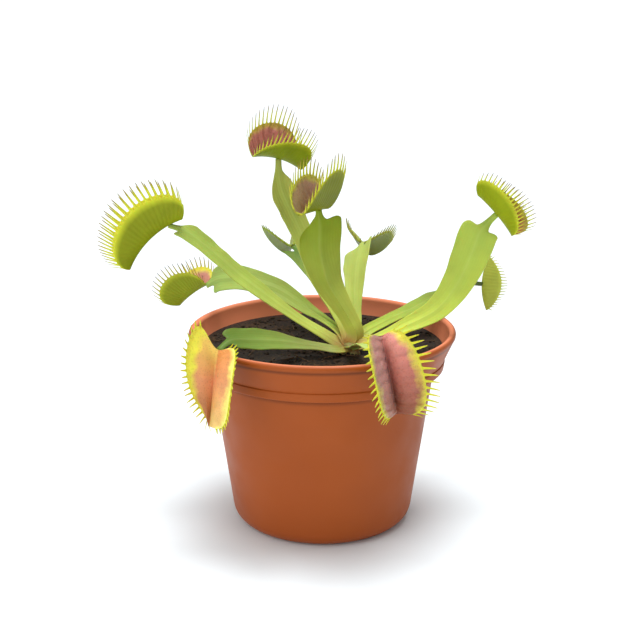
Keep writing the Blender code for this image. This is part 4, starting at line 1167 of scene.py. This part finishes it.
def make_trap(name, leaf):
    """Both lobes are one grid folded along its middle and thickened inwards. Teeth grow from its margins."""
    lobes = Lobes(leaf)
    stations = lobes.stations()
    spans = len(stations) - 1
    rows = [-r for r in reversed(LOBE_ROWS[1:])] + list(LOBE_ROWS)
    trap = add_new(bpy.ops.mesh.primitive_grid_add, f"leaf_trap_{name}", x_subdivisions=spans,
                   y_subdivisions=len(rows) - 1, size=1)
    layers = {"along": [], "reach": [], "station": []}
    weights = []
    most = LOBE_EDGE + max(lobe.pad for lobe in leaf["trap"]["lobes"])
    for vert in trap.data.vertices:
        station = round((vert.co.x + 0.5) * spans)
        u = stations[station]
        v = rows[round((0.5 - vert.co.y) * (len(rows) - 1))]
        vert.co = lobes.point(u, v) * MM
        weights.append(lobes.thickness(u, v) / most)
        layers["along"].append(u)
        layers["reach"].append(v)
        layers["station"].append(station - END_SPANS)
    write_layers(trap, layers)
    write_weights(trap, "plump", weights)
    trap.data.materials.append(trap_skin(name, leaf["trap"]))
    trap.data.materials.append(trap_lining(name, leaf["trap"]))
    add_modifier(trap, "wall", "SOLIDIFY", thickness=most * MM, offset=-1, vertex_group="plump",
                 material_offset=1, use_quality_normals=True)
    draw_teeth(trap, lobes)
    round_off(trap)
    join_into(trap, trigger_hairs(name, lobes))
    finish_piece(trap, "trap", f"trap_{name}")


def draw_teeth(trap, lobes):
    """Extrudes every second face of both margins, in steps that get slimmer, into a slightly curved tooth."""
    draw = random.Random(SEED)
    use_only(trap)
    in_edit_mode()
    bm = bmesh.from_edit_mesh(trap.data)
    reach, station = layers_of(bm, "reach", "station")
    for face in bm.faces:
        middle = sum(v[station] for v in face.verts) / 4
        at_margin = all(abs(v[reach]) == 1.0 for v in face.verts)
        if at_margin and 0 < middle < 2 * lobes.trap["teeth"] - 1 and middle % 2 == 0.5:
            face.select_set(True)
    bmesh.update_edit_mesh(trap.data)
    leans, roots = {}, {}
    for share, girth in TOOTH_STEPS:
        bpy.ops.mesh.extrude_faces_move()
        bm = bmesh.from_edit_mesh(trap.data)
        reach, along, station = layers_of(bm, "reach", "along", "station")
        for face in [f for f in bm.faces if f.select]:
            verts = face.verts
            u = sum(v[along] for v in verts) / 4
            side = 1 if verts[0][reach] > 0 else -1
            key = (side, round(sum(v[station] for v in verts) / 4, 1))
            if key not in leans:
                leans[key] = Vector([draw.uniform(-1, 1) * TOOTH_JITTER for _ in range(3)])
            length = lobes.trap["tooth"] * (SHORTEST_TOOTH + (1 - SHORTEST_TOOTH) * math.cos(u * math.pi / 2))
            way = lobes.tooth_way(u, side) + leans[key]
            inwards = lobes.axes[1] * -side * TOOTH_BEND * share
            centre = sum((v.co for v in verts), Vector()) / 4
            if key not in roots:
                roots[key] = (centre, [v.co - centre for v in verts])
            start, corners = roots[key]
            place = start + (way.normalized() + inwards) * length * share * MM
            for vert, corner in zip(verts, corners):
                vert.co = place + corner * girth
                vert[reach] = side * (1 + share)
        bmesh.update_edit_mesh(trap.data)
    leave_edit_mode()


def trigger_hairs(name, lobes):
    """Three fine bristles on each pad."""
    hairs = []
    for side in (-1, 1):
        for u, row in HAIRS:
            here = lobes.point(u, row * side)
            along = lobes.point(u + NUDGE, row * side) - here
            across = lobes.point(u, (row + NUDGE) * side) - here
            normal = along.cross(across).normalized() * side
            foot = here + normal * (lobes.thickness(u, row * side) - HAIR_SUNK)
            hair = add_new(bpy.ops.mesh.primitive_cone_add, f"hair_{name}", vertices=HAIR_STEPS,
                           radius1=HAIR_RADIUS * MM, radius2=HAIR_TIP_RADIUS * MM, depth=HAIR_LENGTH * MM)
            turn = normal.to_track_quat("Z", "Y").to_matrix().to_4x4()
            hair.data.transform(Matrix.Translation((foot + normal * HAIR_LENGTH / 2) * MM) @ turn)
            for kind in ("skin", "lining"):
                hair.data.materials.append(bpy.data.materials[f"trap_{kind}_{name}"])
            for polygon in hair.data.polygons:
                polygon.material_index = 1
            hairs.append(hair)
    return hairs


# Stage

def make_floor():
    """A plain pale studio floor of matte white card."""
    floor = add_new(bpy.ops.mesh.primitive_plane_add, "studio_floor", size=FLOOR_SPAN * MM)
    floor.data.materials.append(Look("white_card", Roughness=0.9, Base_Color=srgb("#F2FAFE")).finish())


def make_lights():
    """Soft light all round from a room that looks white itself, a wide ceiling light that washes the floor
    white and leaves a soft shadow round the pot's foot, and a broad key from the upper left."""
    world = bpy.data.worlds.new("white_room")
    world.use_nodes = True
    seen = add_node(world.node_tree, "LightPath").outputs["Is Camera Ray"]
    strength = add_node(world.node_tree, "MapRange", {"Value": seen, "To Min": ROOM_LIGHT, "To Max": 1.0})
    room = world.node_tree.nodes["Background"]
    room.inputs["Color"].default_value = (1.0, 1.0, 1.0, 1.0)
    world.node_tree.links.new(strength.outputs["Result"], room.inputs["Strength"])
    bpy.context.scene.world = world
    ceiling = add_new(bpy.ops.object.light_add, "ceiling", type="SUN", location=(0, 0, 1))
    ceiling.data.energy = CEILING_STRENGTH
    ceiling.data.angle = math.radians(CEILING_SPREAD)
    ceiling.rotation_euler = [math.radians(angle) for angle in CEILING_TURN]
    key = add_new(bpy.ops.object.light_add, "key", type="AREA", location=KEY_PLACE * MM)
    key.data.size = KEY_SIZE * MM
    key.data.energy = KEY_WATTS
    key.rotation_euler = (TARGET - KEY_PLACE).to_track_quat("-Z", "Y").to_euler()


def make_camera():
    elevation = math.radians(CAMERA_ELEVATION)
    back = Vector((0, -math.cos(elevation), math.sin(elevation)))
    camera = add_new(bpy.ops.object.camera_add, "camera", location=(TARGET + back * CAMERA_DISTANCE) * MM)
    camera.rotation_euler = back.to_track_quat("Z", "Y").to_euler()
    camera.data.lens = CAMERA_LENS
    camera.data.clip_start = CAMERA_NEAR * MM
    bpy.context.scene.camera = camera


def main():
    deselect()
    bpy.context.scene.view_settings.view_transform = "Standard"
    make_camera()
    make_lights()
    make_floor()
    make_pot()
    make_soil()
    make_rootstock()
    for name, leaf in LEAVES.items():
        make_petiole(name, leaf)
        make_trap(name, leaf)


main()
